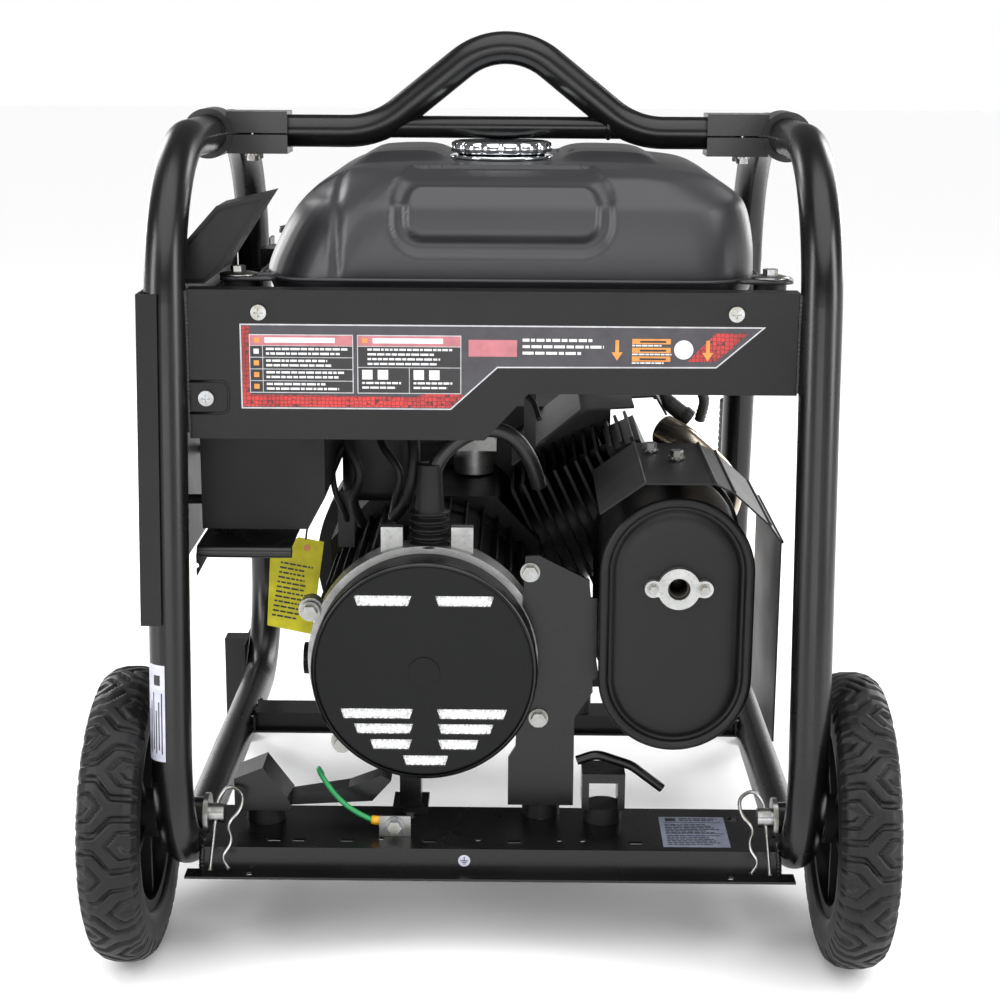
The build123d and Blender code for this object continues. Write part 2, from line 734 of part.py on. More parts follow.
def switch_bezels():
    """Bezels around the rocker switches, with the switch case behind."""
    solids = []
    for y in (SWITCH_Y, IDLE_Y):
        rim_part = block((SIDE_X - 4, SIDE_X - 1.1), (y - 15, y + 15), (SWITCH_Z - 20, SWITCH_Z + 20))
        case = block((SIDE_X - 4, SIDE_X + 16), (y - 12, y + 12), (SWITCH_Z - 17, SWITCH_Z + 17))
        pocket = block((SIDE_X - 6, SIDE_X + 12), (y - 8.6, y + 8.6), (SWITCH_Z - 15, SWITCH_Z + 15))
        solids.append(rim_part + case - pocket)
    return solids


def meter():
    """Round meter with a glass, and a pilot lamp beside it."""
    dial = rod("x", (40, 530), (SIDE_X - 4, SIDE_X + 14), 21.8)
    dial += rod("x", (40, 530), (SIDE_X - 6, SIDE_X - 1.1), 25)
    lamp = rod("x", (-60, 535), (SIDE_X - 7, SIDE_X + 8), 8.8)
    return [dial, lamp]


def shelf_bracket():
    """Rolled-edge bracket under the control box, with a gusset and pin at the post."""
    shelf = block((-234, -159), (-238, -120), (382, 384))
    rolled = rod("x", (-238, 379), (-234, -159), 5)
    gusset = along_y([(-241, 378), (-224, 378), (-241, 347)], (-242, -238))
    gusset -= rod("y", (-235, 368), (-250, -230), 2.5)
    return [shelf + rolled, gusset & block((-234.6, -200), (-250, -230), (300, 400))]


# ---- engine ----
def tilted(solid):
    """Turn a piece drawn along +X from the crank so that it leans up with the cylinder."""
    return Pos(CRANK_X, 0, CRANK_Z) * Rot(0, -CYL_TILT, 0) * solid


def crankcase():
    """Cast crankcase, hollow, with feet, shaft bores and an oil filler boss."""
    outline = [(-150, 178), (40, 178), (52, 230), (40, 330), (0, 372), (-110, 372), (-150, 330)]
    inner = [(-142, 186), (34, 186), (44, 232), (32, 326), (-4, 364), (-106, 364), (-142, 326)]
    case = along_y(outline, (-14, 118)) - along_y(inner, (-6, 110))
    case += block((-160, -95), (50, 112), (168, 178)) + block((35, 100), (50, 112), (168, 178))
    case += block((35, 50), (50, 112), (178, 230))
    case -= rod("y", (CRANK_X, CRANK_Z), (-20, 125), SHAFT_R + 5.2)
    case -= tilted(rod("x", (52, 0), (60, 140), 45.2))
    case += rod("x", (20, 205), (-166, -142), 13) - rod("x", (20, 205), (-170, -140), 9)
    for x in (-150, -120, 60, 90):
        case -= rod("z", (x, 81), (160, 185), 4.6)
    return case.solids().sort_by(SortBy.VOLUME)[-1]


def cylinder():
    """Finned cylinder, bored for the piston, leaning up to the muffler side."""
    barrel = rod("x", (52, 0), (101, 200), 54)
    for i in range(9):
        x = 106 + i * 10.5
        barrel += block((x, x + 3), (-8, 112), (-64, 64))
    barrel -= rod("x", (52, 0), (90, 210), 44)
    cut = crankcase_keepout()
    return tilted(barrel) - cut


def crankcase_keepout():
    """Space just outside the crankcase, kept clear by the cylinder."""
    outline = [(-151, 177), (41, 177), (53, 230), (41, 331), (0.4, 373), (-110, 373), (-151, 331)]
    return along_y(outline, (-15, 119))


def cylinder_head():
    """Head with fins and a port boss for the exhaust."""
    head = block((200.2, 232), (-4, 108), (-58, 58))
    for i in range(3):
        head += block((204 + i * 10, 207 + i * 10), (-10, 114), (-64, 64))
    head += rod("y", (216, -20), (-22, -4), 20)
    return tilted(head)


def valve_cover():
    """Pressed valve cover on the end of the head."""
    shape = Pos(244, 52, -9) * Box(23, 96, 74)
    shape = fillet(shape.edges().filter_by(Axis.X), 14)
    shape = fillet(shape.faces().sort_by(Axis.X)[-1].edges(), 6)
    return tilted(shape)


def engine_shroud():
    """Folded cooling shroud over the cylinder."""
    sheet = folded([(16, 402), (43, 425), (77, 453), (146, 457), (156, 440)], (-22, 119.5))
    return sheet - block((124, 175), (-25, 26), (430, 480))


def fan_housing():
    """Blower housing: a round drum at the far side of the crankcase."""
    drum = rod("y", (CRANK_X, CRANK_Z), (120, 186), 122) - rod("y", (CRANK_X, CRANK_Z), (123, 190), 118)
    snout = block((-40, 110), (120, 186), (330, 430)) - block((-37, 107), (123, 190), (320, 427))
    snout -= rod("y", (CRANK_X, CRANK_Z), (110, 190), 120)
    drum -= rod("y", (CRANK_X, CRANK_Z), (110, 130), 24)
    drum += snout
    return drum.solids().sort_by(SortBy.VOLUME)[-1]


def flywheel():
    """Flywheel with a ring of cooling blades and a starter cup."""
    disc = rod("y", (CRANK_X, CRANK_Z), (136, 156), 96)
    disc += pipe("y", (CRANK_X, CRANK_Z), (156, 184), 40, 34)
    hub = rod("y", (CRANK_X, CRANK_Z), (132, 168), 22)
    wheel = disc + hub
    blade = block((CRANK_X + 60, CRANK_X + 108), (156, 176), (CRANK_Z - 1.5, CRANK_Z + 1.5))
    for i in range(16):
        wheel += blade.rotate(Axis((CRANK_X, 0, CRANK_Z), (0, 1, 0)), i * 22.5)
    return wheel - rod("y", (CRANK_X, CRANK_Z), (130, 190), SHAFT_R - 0.5)


def recoil_cover():
    """Recoil starter cover: a stepped dish with slots and a rope guide."""
    dish = rod("y", (CRANK_X, CRANK_Z), (186.3, 204), 112) + rod("y", (CRANK_X, CRANK_Z), (204, 232), 86)
    dish -= rod("y", (CRANK_X, CRANK_Z), (180, 201), 108)
    dish -= rod("y", (CRANK_X, CRANK_Z), (200, 229), 82)
    for x, z in ring_points(14, 97, 8):
        dish -= rod("y", (CRANK_X + x, CRANK_Z + z), (195, 210), 5)
    for x, z in ring_points(10, 52):
        dish -= rod("y", (CRANK_X + x, CRANK_Z + z), (220, 240), 6.5)
    guide_x, guide_z = ROPE_X, ROPE_Z
    dish += rod("y", (guide_x, guide_z), (200, 238), 13)
    return dish - rod("y", (guide_x, guide_z), (195, 245), 7)


def recoil_grip():
    """T-shaped pull grip."""
    bar = Pos(ROPE_X, 252, ROPE_Z) * Rot(0, 45, 0) * Box(78, 16, 18)
    bar = fillet(bar.edges().filter_by(Axis.Y), 6)
    neck = rod("y", (ROPE_X, ROPE_Z), (239, 246), 9)
    return bar + neck


def recoil_rope():
    """The end of the starter rope, inside its guide."""
    return rod("y", (ROPE_X, ROPE_Z), (203, 239), 2.5)


def air_cleaner():
    """Air cleaner box with a deep lid and a rounded outline."""
    base = Pos(-170, 132, 452) * Box(110, 150, 60)
    base = fillet(base.edges().filter_by(Axis.Z), 18)
    lid = Pos(-170, 132, 503) * Box(116, 156, 40)
    lid = fillet(lid.edges().filter_by(Axis.Z), 20)
    lid = fillet(lid.faces().sort_by(Axis.Z)[-1].edges(), 8)
    return base + lid


def air_cleaner_knob():
    """Wing knob that holds the air cleaner's lid."""
    return rod("z", (-170, 132), (523.2, 531), 9) + block((-186, -154), (130, 134), (525, 535))


def carburettor():
    """Carburettor with its bowl, on the intake side of the cylinder."""
    body = block((-44, 0), (60, 104), (398, 432)) + rod("z", (-22, 82), (374, 398), 19)
    body += rod("x", (82, 415), (-115, -44), 17)
    return body


def choke_lever():
    """Choke lever on its spindle."""
    lever = rod("y", (-22, 415), (45, 59.7), 4) + block((-27, -17), (45, 48), (415, 450))
    return lever + rod("y", (-22, 452), (40, 50), 6)


def fuel_valve():
    """Fuel tap body under the tank, with its lever pointing down."""
    return rod("z", (-70, 150), (505, TANK_LOW - 0.4), 9) + rod("y", (-70, 520), (150, 164), 8)


def fuel_lever():
    """Lever of the fuel tap."""
    return rod("y", (-70, 520), (164.3, 170), 9) + block((-74, -66), (165, 169), (486, 520))


def oil_cap():
    """Oil filler cap with a ribbed grip, low on the crankcase."""
    cap = rod("x", (20, 205), (-180, -166.3), 15) + rod("x", (20, 205), (-166.3, -150), 8.7)
    for y, z in ring_points(12, 16.5):
        cap -= rod("x", (20 + y, 205 + z), (-178, -168), 2.2)
    return cap


def spark_plug():
    """Spark plug in the head, along the cylinder's lean."""
    return tilted(rod("x", (10, 44), (232.2, 262), 6) + rod("x", (10, 44), (232.2, 240), 10))


def plug_cap():
    """Rubber elbow cap on the spark plug."""
    cap = rod("x", (10, 44), (243, 276), 11) - rod("x", (10, 44), (240, 262.2), 6.1)
    elbow = rod("z", (268, 10), (44, 78), 9)
    return tilted(cap + elbow)


# ---- cords that the machine holds all the way ----
def plug_lead():
    """Ignition lead from the plug cap over the shroud to the coil at the fan housing."""
    return bent_rod(LEAD_ROUTE, route_radii(LEAD_ROUTE), 3.5)


def harness_cable():
    """Output harness from the boot on the alternator up behind the end panel to the box."""
    return bent_rod(HARNESS_ROUTE, route_radii(HARNESS_ROUTE), 6.5)


def ground_wire():
    """Green ground wire from the alternator foot to the bolt on the pan."""
    return bent_rod(GROUND_ROUTE, route_radii(GROUND_ROUTE), 2.2)


def tag_string():
    """Thin cord loop of the hang tag."""
    points = [(-158, -113, 376), (-163, -111, 354), (-163, -96, 346)]
    return bent_rod(points, [7], 0.9)


def hang_tag():
    """Blank card tag hung on the left of the alternator."""
    outline = [(-169, 356), (-158, 354), (-147, 352), (-159, 268), (-198, 276), (-194, 340)]
    card = along_y(outline, (-104.5, -103.5))
    return card - rod("y", (-163, 349), (-110, -100), 2.6)


# ---- alternator ----
def end_cover():
    """Round black cover on the alternator's end, with slanted louvre slots and a boss."""
    cup = rod("y", (CRANK_X, CRANK_Z), (COVER_FRONT, BRACKET_FRONT - 0.2), COVER_R)
    cup = fillet(cup.faces().sort_by(Axis.Y)[0].edges(), 5)
    cup -= rod("y", (CRANK_X, CRANK_Z), (COVER_FRONT + 3, BRACKET_FRONT + 5), COVER_R - 3)
    cup += rod("y", (CRANK_X, CRANK_Z), (COVER_FRONT - 1.0, COVER_FRONT + 3), 12.5)
    slots = [(-112, -65, 334), (-46, 2, 334)]
    slots += [(-124, -64, 237.5), (-45, 13, 237.5), (-113, -64, 224.5), (-44, 2, 224.5)]
    slots += [(-100, -65, 211), (-44, -10, 211), (-73, -35, 197)]
    for low, high, z in slots:
        slant = 3
        points = [(low + slant, z - 4.6), (high - slant, z - 4.6), (high, z + 4.6), (low, z + 4.6)]
        cup -= along_y(points, (COVER_FRONT - 2, COVER_FRONT + 6))
    return cup


def end_bracket():
    """Cast aluminium end bracket with four lugs, a bearing hub and spokes."""
    span = (BRACKET_FRONT, BRACKET_FRONT + 26)
    ring = pipe("y", (CRANK_X, CRANK_Z), span, 98, 86)
    hub = pipe("y", (CRANK_X, CRANK_Z), span, 30, 21)
    bracket = ring + hub
    for angle in (45, 135, 225, 315):
        spoke = block((CRANK_X + 26, CRANK_X + 90), (span[0] + 6, span[1]), (CRANK_Z - 6, CRANK_Z + 6))
        bracket += spoke.rotate(Axis((CRANK_X, 0, CRANK_Z), (0, 1, 0)), angle)
    for dx, dz in LUGS:
        lug = rod("y", (CRANK_X + dx, CRANK_Z + dz), (span[0] + 0.2, span[0] + 14), 10)
        bracket += lug - rod("y", (CRANK_X, CRANK_Z), (span[0] - 1, span[0] + 20), 87)
    for dx in (-28, 30):
        ear_x = (CRANK_X + dx - 9, CRANK_X + dx + 9)
        bracket += block(ear_x, (span[0] + 8, span[0] + 18), (CRANK_Z + 90, CRANK_Z + 112))
    for dx, dz in LUGS:
        bracket -= rod("y", (CRANK_X + dx, CRANK_Z + dz), (span[0] - 1, span[0] + 20), 4.1)
    return bracket.solids().sort_by(SortBy.VOLUME)[-1]


def stator():
    """Laminated stator in its housing, with a ring of tie-bolt ribs."""
    body = pipe("y", (CRANK_X, CRANK_Z), (BRACKET_FRONT + 26.2, -44), 92, STATOR_IN_R)
    for angle in range(8):
        rib = block((CRANK_X + 90, CRANK_X + 96), (BRACKET_FRONT + 30, -48), (CRANK_Z - 6, CRANK_Z + 6))
        body += rib.rotate(Axis((CRANK_X, 0, CRANK_Z), (0, 1, 0)), 22.5 + angle * 45)
    return body


def adapter():
    """Bell that joins the alternator to the crankcase."""
    bell = pipe("y", (CRANK_X, CRANK_Z), (-43.8, -14.2), 94, 84)
    plate = pipe("y", (CRANK_X, CRANK_Z), (-20, -14.2), 90, 36)
    return bell + plate


def rotor():
    """Wound rotor: a core with two coil heads, bored for the shaft."""
    body = rod("y", (CRANK_X, CRANK_Z), (-150, -58), ROTOR_R)
    for angle in (0, 90):
        gap = block((CRANK_X - 70, CRANK_X + 70), (-155, -50), (CRANK_Z - 5, CRANK_Z + 5))
        groove = gap.rotate(Axis((CRANK_X, 0, CRANK_Z), (0, 1, 0)), angle)
        body -= groove - rod("y", (CRANK_X, CRANK_Z), (-156, -40), 44)
    return body - rod("y", (CRANK_X, CRANK_Z), (-160, -40), SHAFT_R)


def crankshaft():
    """Through shaft with two webs and a crank pin inside the crankcase."""
    shaft = rod("y", (CRANK_X, CRANK_Z), (-190, 20), SHAFT_R)
    shaft += rod("y", (CRANK_X, CRANK_Z), (84, 176), SHAFT_R - 0.5)
    for y in (20, 66):
        web = rod("y", (CRANK_X, CRANK_Z), (y, y + 18), 30)
        web += block((CRANK_X - 18, CRANK_X + 18), (y, y + 18), (CRANK_Z - 50, CRANK_Z))
        shaft += web
    return shaft + rod("y", (CRANK_X, CRANK_Z - 32), (20, 84), 13)


def rear_bearing():
    """Ball bearing rings in the end bracket's hub, drawn as one fixed ring."""
    return pipe("y", (CRANK_X, CRANK_Z), (BRACKET_FRONT + 6, BRACKET_FRONT + 22), 20.9, SHAFT_R + 0.05)


def main_bearings():
    """The two crankcase bearings."""
    return [
        pipe("y", (CRANK_X, CRANK_Z), span, SHAFT_R + 5.0, SHAFT_R + 0.05)
        for span in ((-13.8, -6.2), (110.2, 117.8))
    ]


def piston():
    """Piston with two ring grooves and its cross pin."""
    body = rod("x", (52, 0), (128, 180), 43.6) - rod("x", (52, 0), (120, 170), 38)
    for x in (172, 166):
        body -= pipe("x", (52, 0), (x, x + 2), 46, 42)
    pin = rod("y", (150, 0), (11, 93), 9)
    return tilted(body + pin)


def alternator_bolts():
    """Flange bolts in the end bracket's lugs."""
    face = BRACKET_FRONT - 3.9
    return [hex_bolt("y", (CRANK_X + dx, CRANK_Z + dz), face, -1, 6.5, 6, 4.0, 16) for dx, dz in LUGS]


def harness_boot():
    """Corrugated rubber boot where the harness leaves the alternator."""
    boot = rod("z", (-52, -176), (374, 378), 17)
    for i in range(7):
        boot += rod("z", (-52, -176), (378 + i * 3.8, 380.4 + i * 3.8), 14.5 - i * 0.8)
    boot += rod("z", (-52, -176), (376, 403.2), 9)
    return boot


# ---- muffler ----
def oval(half_w, half_h, y):
    """A stadium form across XZ, extruded between two Y values."""
    place = Plane.XZ.offset(-y[0]) * Pos(MUFFLER_X, MUFFLER_Z) * Rot(0, 0, 90)
    face = place * SlotOverall(2 * half_h, 2 * half_w)
    return extrude(face, amount=-(y[1] - y[0]))


def muffler_body():
    """Oval muffler can with rolled rims at both ends and an outlet hole."""
    can = oval(MUFFLER_HALF_W - 4, MUFFLER_HALF_H - 4, (MUFFLER_FRONT + 3, MUFFLER_BACK - 3))
    for span in ((MUFFLER_FRONT, MUFFLER_FRONT + 7), (MUFFLER_BACK - 7, MUFFLER_BACK)):
        rolled = oval(MUFFLER_HALF_W, MUFFLER_HALF_H, span)
        rolled = fillet(rolled.faces().sort_by(Axis.Y)[0].edges(), 3)
        can += rolled
    can -= oval(MUFFLER_HALF_W - 6, MUFFLER_HALF_H - 6, (MUFFLER_FRONT + 5, MUFFLER_BACK - 5))
    can -= oval(MUFFLER_HALF_W - 9, MUFFLER_HALF_H - 9, (MUFFLER_FRONT - 1, MUFFLER_FRONT + 2))
    return can - rod("y", (OUTLET_X, OUTLET_Z), (MUFFLER_FRONT - 2, MUFFLER_FRONT + 8), OUTLET_R)


def outlet_flange():
    """Cast outlet flange: a round boss with two ears."""
    span = (MUFFLER_FRONT - 5, MUFFLER_FRONT + 1.9)
    boss = rod("y", (OUTLET_X, OUTLET_Z), span, 17)
    bar = block((OUTLET_X - 21, OUTLET_X + 21), span, (OUTLET_Z - 6.5, OUTLET_Z + 6.5))
    ears = rod("y", (OUTLET_X - 20.5, OUTLET_Z), span, 7) + rod("y", (OUTLET_X + 20.5, OUTLET_Z), span, 7)
    flange = boss + bar + ears
    for dx in (-20.5, 20.5):
        flange -= rod("y", (OUTLET_X + dx, OUTLET_Z), (span[0] - 1, span[1] + 1), 2.1)
    return flange - rod("y", (OUTLET_X, OUTLET_Z), (span[0] - 1, span[1] + 1), OUTLET_R)


def outlet_bolts():
    """Two small bolts on the outlet flange."""
    return [
        hex_bolt("y", (OUTLET_X + dx, OUTLET_Z), MUFFLER_FRONT - 5.1, -1, 3.6, 3, 2, 4)
        for dx in (-20.5, 20.5)
    ]


def heat_shield():
    """Folded shield over and beside the muffler."""
    profile = [(230, 222), (230, 390), (220, 404), (191, 430), (176, 437), (120, 437), (85, 412)]
    sheet = folded(profile, (-236, -82), 1.5)
    for x, y in SHIELD_BOLTS:
        sheet -= rod("z", (x, y), (430, 445), 2.7)
    return sheet


def shield_bolts():
    """Bolts through the top of the heat shield, standing up from it."""
    solids = []
    for x, y in SHIELD_BOLTS:
        solids.append(hex_bolt("z", (x, y), 438.8, 1, 5.5, 5, 2.5, 10))
    return solids


def muffler_strap():
    """Strap from the muffler's back to the engine, under the shield."""
    strap = block((110, 190), (MUFFLER_BACK + 0.3, MUFFLER_BACK + 4), (300, 420))
    strap += block((110, 150), (MUFFLER_BACK + 0.3, -23), (392, 396))
    return strap


def exhaust_pipe():
    """Bent pipe from the head's port to the back of the muffler."""
    port = (CRANK_X + 216 * cos(radians(CYL_TILT)) + 20 * sin(radians(CYL_TILT)), -23,
            CRANK_Z + 216 * sin(radians(CYL_TILT)) - 20 * cos(radians(CYL_TILT)))
    points = [port, (port[0], -62, port[2]), (200, -62, 330), (200, MUFFLER_BACK + 0.3, 330)]
    return bent_rod(points, [16, 16], 13)


# ---- mounting on the pan ----
def support_plate():
    """Flat plate beside the alternator, down to the pan."""
    outline = [(27, 365), (38, 366), (80, 345), (84, 249), (69, 226), (69, 148), (14, 148)]
    outline += [(14, 190), (20, 200)]
    plate = along_y(outline, (BRACKET_FRONT - 3.8, BRACKET_FRONT))
    plate -= rod("y", (CRANK_X, CRANK_Z), (-210, -180), COVER_R + 1.5)
    for dx, dz in LUGS[:2]:
        plate -= rod("y", (CRANK_X + dx, CRANK_Z + dz), (-210, -180), 4.1)
    foot = block((14, 69), (BRACKET_FRONT - 3.8, BRACKET_FRONT + 26), (148, 152))
    solid = plate + foot
    solid += block((80, 86.4), (BRACKET_FRONT - 3.8, BRACKET_FRONT), (260, 330))
    return solid.solids().sort_by(SortBy.VOLUME)[-1]


def rubber_mounts():
    """Rubber blocks under the alternator and the engine feet."""
    solids = []
    for x, y, low, high in MOUNTS:
        solids.append(rod("z", (x, y), (low + 0.1, high - 0.1), 16))
    for x, y, low, high in FAR_MOUNTS:
        solids.append(rod("z", (x, y), (low + 0.1, high), 19))
    return solids


def left_bracket():
    """Pressed bracket from the left rubber mount to the alternator's foot."""
    top = along_y([(-214, 148), (-168, 148), (-168, 156), (-190, 186), (-214, 176)], (-213, -177))
    top -= along_y([(-208, 146), (-174, 146), (-174, 154), (-191, 178), (-208, 170)], (-207, -183))
    arm = along_y([(-168, 148), (-100, 152), (-84, 170), (-92, 175), (-120, 164), (-168, 156)], (-200, -180))
    return (top + arm).solids().sort_by(SortBy.VOLUME)[-1]


def right_bracket():
    """Clevis bracket over the right rubber mount, with a curved strap."""
    body = block((76, 112), (-206, -174), (148, 180)) - block((82, 106), (-210, -170), (146, 172))
    strap = bent_rod([(72, -190, 186), (88, -190, 192), (118, -190, 182), (144, -190, 162)], [18, 30], 4)
    return body + strap


def alternator_feet():
    """Two cast feet under the alternator, the middle one down to the pan."""
    foot = block((-84, -54), (-186, -150), (PAN_TOP + 0.2, 140)) + block((-78, -60), (-180, -156), (140, 190))
    return foot - rod("y", (CRANK_X, CRANK_Z), (-200, -140), 98.3)


def ground_parts():
    """Ground bolt and ring terminal with a small upright tab on the pan."""
    tab = block((-92, -66), (-232, -230), (PAN_TOP + 0.2, 152))
    bolt = hex_bolt("y", (-79, 144), -232.1, -1, 6, 5, 2, 3)
    return [tab, bolt]


def crimp():
    """Yellow crimp barrel on the ground wire's end."""
    return rod("x", (-224, 145), (-96.4, -84), 3.8)


def rating_plate():
    """Blank silver plate on the pan."""
    return block((160, 212), (-238, -176), (PAN_TOP + 0.1, PAN_TOP + 0.7))


def ground_mark():
    """Small round plate on the pan's face."""
    return rod("y", (-28, 124), (-256.7, -256.1), 6)


def write_frame():
    """Frame, handle, clamps, legs and fold-up handles."""
    save("left_frame_hoop", hoop(-HOOP_X))
    save("right_frame_hoop", hoop(HOOP_X))
    save("front_cross_pan", front_pan())
    save("rear_cross_member", rear_member())
    save("lifting_handle", lifting_handle(), handle_cross_bar())
    shells = [clamp_half(side, upper) for side in (-1, 1) for upper in (True, False)]
    save("handle_clamps", *shells)
    save("support_legs", support_leg(-1), support_leg(1))
    for name, side in (("left", -1), ("right", 1)):
        save(f"{name}_fold_handle", fold_handle(side))
        save(f"{name}_fold_grip", fold_grip(side))


def write_wheels():
    """Wheels and their axle pins."""
    for name, side in (("left", -1), ("right", 1)):
        save(f"{name}_tyre", tyre(side))
        save(f"{name}_rim", rim(side), bush(side))
    save("axle_pins", axle_pin(-1), axle_pin(1), *axle_washers())


def write_tank_and_panels():
    """Tank, sheet metal and controls."""
    save("fuel_tank", fuel_tank(), fuel_gauge())
    save("fuel_cap", fuel_cap())
    save("tank_rails", *tank_rails())
    save("rubber_mounts", *tank_pads(), *rubber_mounts(), rubber_foot(-1), rubber_foot(1))
    save("end_panel", end_panel())
    save("control_panel", control_panel())
    save("panel_hood", panel_hood())
    save("panel_rear_box", panel_box(), *panel_studs())
    save("outlets", *outlets(), *cover_hinges())
    for index in range(3):
        save(f"outlet_cover_{index + 1}", outlet_cover(index))
        save(f"breaker_button_{index + 1}", breaker(index))
    save("panel_fittings", *switch_bezels(), *breaker_collars(), *meter())
    save("engine_switch", rocker(SWITCH_Y))
    save("idle_switch", rocker(IDLE_Y))


def write_engine():
    """Engine pieces."""
    save("crankcase", crankcase(), *main_bearings())
    save("cylinder_and_head", cylinder(), cylinder_head(), valve_cover())
    save("piston", piston())
    save("engine_shroud", engine_shroud(), fan_housing())
    save("flywheel_fan", flywheel())
    save("recoil_cover", recoil_cover())
    save("recoil_grip", recoil_grip(), recoil_rope())
    save("air_cleaner", air_cleaner(), air_cleaner_knob())
    save("carburettor", carburettor(), fuel_valve())
    save("choke_lever", choke_lever())
    save("fuel_lever", fuel_lever())
    save("oil_cap", oil_cap())


def write_alternator():
    """Alternator, shaft and mounting."""
    save("alternator_end_cover", end_cover())
    save("end_bracket", end_bracket(), rear_bearing())
    save("stator", stator(), adapter())
    save("rotor", rotor())
    save("crankshaft", crankshaft())
    save("support_plate", support_plate())
    brackets = [left_bracket(), right_bracket(), alternator_feet(), *shelf_bracket()]
    save("mount_brackets", *brackets, pivot_bracket(-1), pivot_bracket(1))


def write_muffler():
    """Exhaust side."""
    save("muffler_body", muffler_body())
    save("outlet_flange", outlet_flange())
    save("heat_shield", heat_shield())
    save("exhaust_pipe", exhaust_pipe(), muffler_strap())


def write_small_pieces():
    """Wiring, labels and fasteners."""
    boots = [harness_boot(), spark_plug(), plug_cap()]
    save("cables_and_boots", plug_lead(), harness_cable(), ground_wire(), tag_string(), *boots)
    save("labels", decal(), rating_plate(), ground_mark(), crimp(), hang_tag())
    bolts = [*clamp_bolts(), *tank_bolts(), *end_panel_screws(), *alternator_bolts()]
    bolts += [*outlet_bolts(), *shield_bolts(), *pivot_bolts(), *ground_parts()]
    save("fasteners", *bolts, spring_clip(-1), spring_clip(1))


write_frame()
write_wheels()
write_tank_and_panels()
write_engine()
write_alternator()
write_muffler()
write_small_pieces()
for name, route in (("lead", LEAD_ROUTE), ("harness", HARNESS_ROUTE), ("ground", GROUND_ROUTE)):
    print(name, [round(r, 1) for r in route_radii(route)])
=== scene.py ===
import math

import bpy
import numpy as np
from bpy.props import FloatProperty, FloatVectorProperty, IntProperty, PointerProperty
from mathutils import Matrix, Vector


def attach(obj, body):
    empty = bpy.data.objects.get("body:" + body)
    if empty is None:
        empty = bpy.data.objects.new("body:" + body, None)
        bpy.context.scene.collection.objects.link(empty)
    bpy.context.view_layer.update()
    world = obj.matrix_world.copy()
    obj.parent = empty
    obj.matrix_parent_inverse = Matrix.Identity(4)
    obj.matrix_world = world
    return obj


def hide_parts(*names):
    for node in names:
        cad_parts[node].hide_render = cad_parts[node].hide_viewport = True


bl_info = {
    "name": "Portable generator looks",
    "version": (1, 0, 0),
    "blender": (4, 5, 0),
    "location": "View3D > Sidebar > Generator",
    "description": "Builds the visible pieces and finishes of an open-frame generator",
    "category": "Object",
}

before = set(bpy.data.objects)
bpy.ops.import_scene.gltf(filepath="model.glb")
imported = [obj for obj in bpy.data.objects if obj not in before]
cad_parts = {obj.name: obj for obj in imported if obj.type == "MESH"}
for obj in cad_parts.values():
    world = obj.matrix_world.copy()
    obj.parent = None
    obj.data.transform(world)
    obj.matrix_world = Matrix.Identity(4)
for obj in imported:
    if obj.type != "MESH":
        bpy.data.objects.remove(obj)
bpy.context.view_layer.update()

MM = 0.001
# The maker's drawing has its datum under the ground and its middle at the base rails.
DRAWING_Y = 12.0
DRAWING_Z = -34.5


def at(x, y, z):
    """A point of the maker's drawing, in millimetres, as a point of the frame in metres."""
    return ((x) * MM, (y + DRAWING_Y) * MM, (z + DRAWING_Z) * MM)


# ---- small tools ----
def linear(text):
    """sRGB hex to the linear RGBA that shaders take."""
    parts = [int(text[i : i + 2], 16) / 255 for i in (1, 3, 5)]
    return tuple(c / 12.92 if c <= 0.04045 else ((c + 0.055) / 1.055) ** 2.4 for c in parts) + (1.0,)


def add(tree, kind, inputs=None, **settings):
    """Add one node; inputs take a value or a socket to link from."""
    node = tree.nodes.new(kind)
    for key, value in settings.items():
        setattr(node, key, value)
    for key, value in (inputs or {}).items():
        socket = node.inputs[key]
        if isinstance(value, bpy.types.NodeSocket):
            tree.links.new(value, socket)
        else:
            socket.default_value = value
    return node


def new_material(name):
    """An empty node material with its Principled shader and output."""
    material = bpy.data.materials.new(name)
    material.use_nodes = True
    tree = material.node_tree
    tree.nodes.clear()
    shader = add(tree, "ShaderNodeBsdfPrincipled")
    add(tree, "ShaderNodeOutputMaterial", {"Surface": shader.outputs[0]})
    return material, tree, shader


def mix_colour(tree, factor, first, second):
    """Mix two colours, given as hex or as sockets, by a factor socket or number."""
    node = add(tree, "ShaderNodeMix", data_type="RGBA")
    ends = [linear(c) if isinstance(c, str) else c for c in (first, second)]
    for socket, value in zip((node.inputs[0], node.inputs[6], node.inputs[7]), (factor, *ends)):
        if isinstance(value, bpy.types.NodeSocket):
            tree.links.new(value, socket)
        else:
            socket.default_value = value
    return node.outputs[2]


def spread(tree, source, low, high, start=0.3, stop=0.7):
    """Map a noise value between start and stop onto low to high."""
    node = add(
        tree,
        "ShaderNodeMapRange",
        {"Value": source, "From Min": start, "From Max": stop, "To Min": low, "To Max": high},
    )
    return node.outputs[0]


def noise(tree, size_mm, detail=3.0, roughness=0.55, vector=None):
    """Noise whose grain is size_mm across, on Object coordinates."""
    place = vector or add(tree, "ShaderNodeTexCoord").outputs["Object"]
    inputs = {"Vector": place, "Scale": 1 / (size_mm * MM), "Detail": detail, "Roughness": roughness}
    return add(tree, "ShaderNodeTexNoise", inputs).outputs[0]


def bump(tree, height, depth_mm, strength=1.0, normal=None):
    """A bump of a real depth in millimetres."""
    inputs = {"Height": height, "Distance": depth_mm * MM, "Strength": strength}
    if normal is not None:
        inputs["Normal"] = normal
    return add(tree, "ShaderNodeBump", inputs).outputs[0]


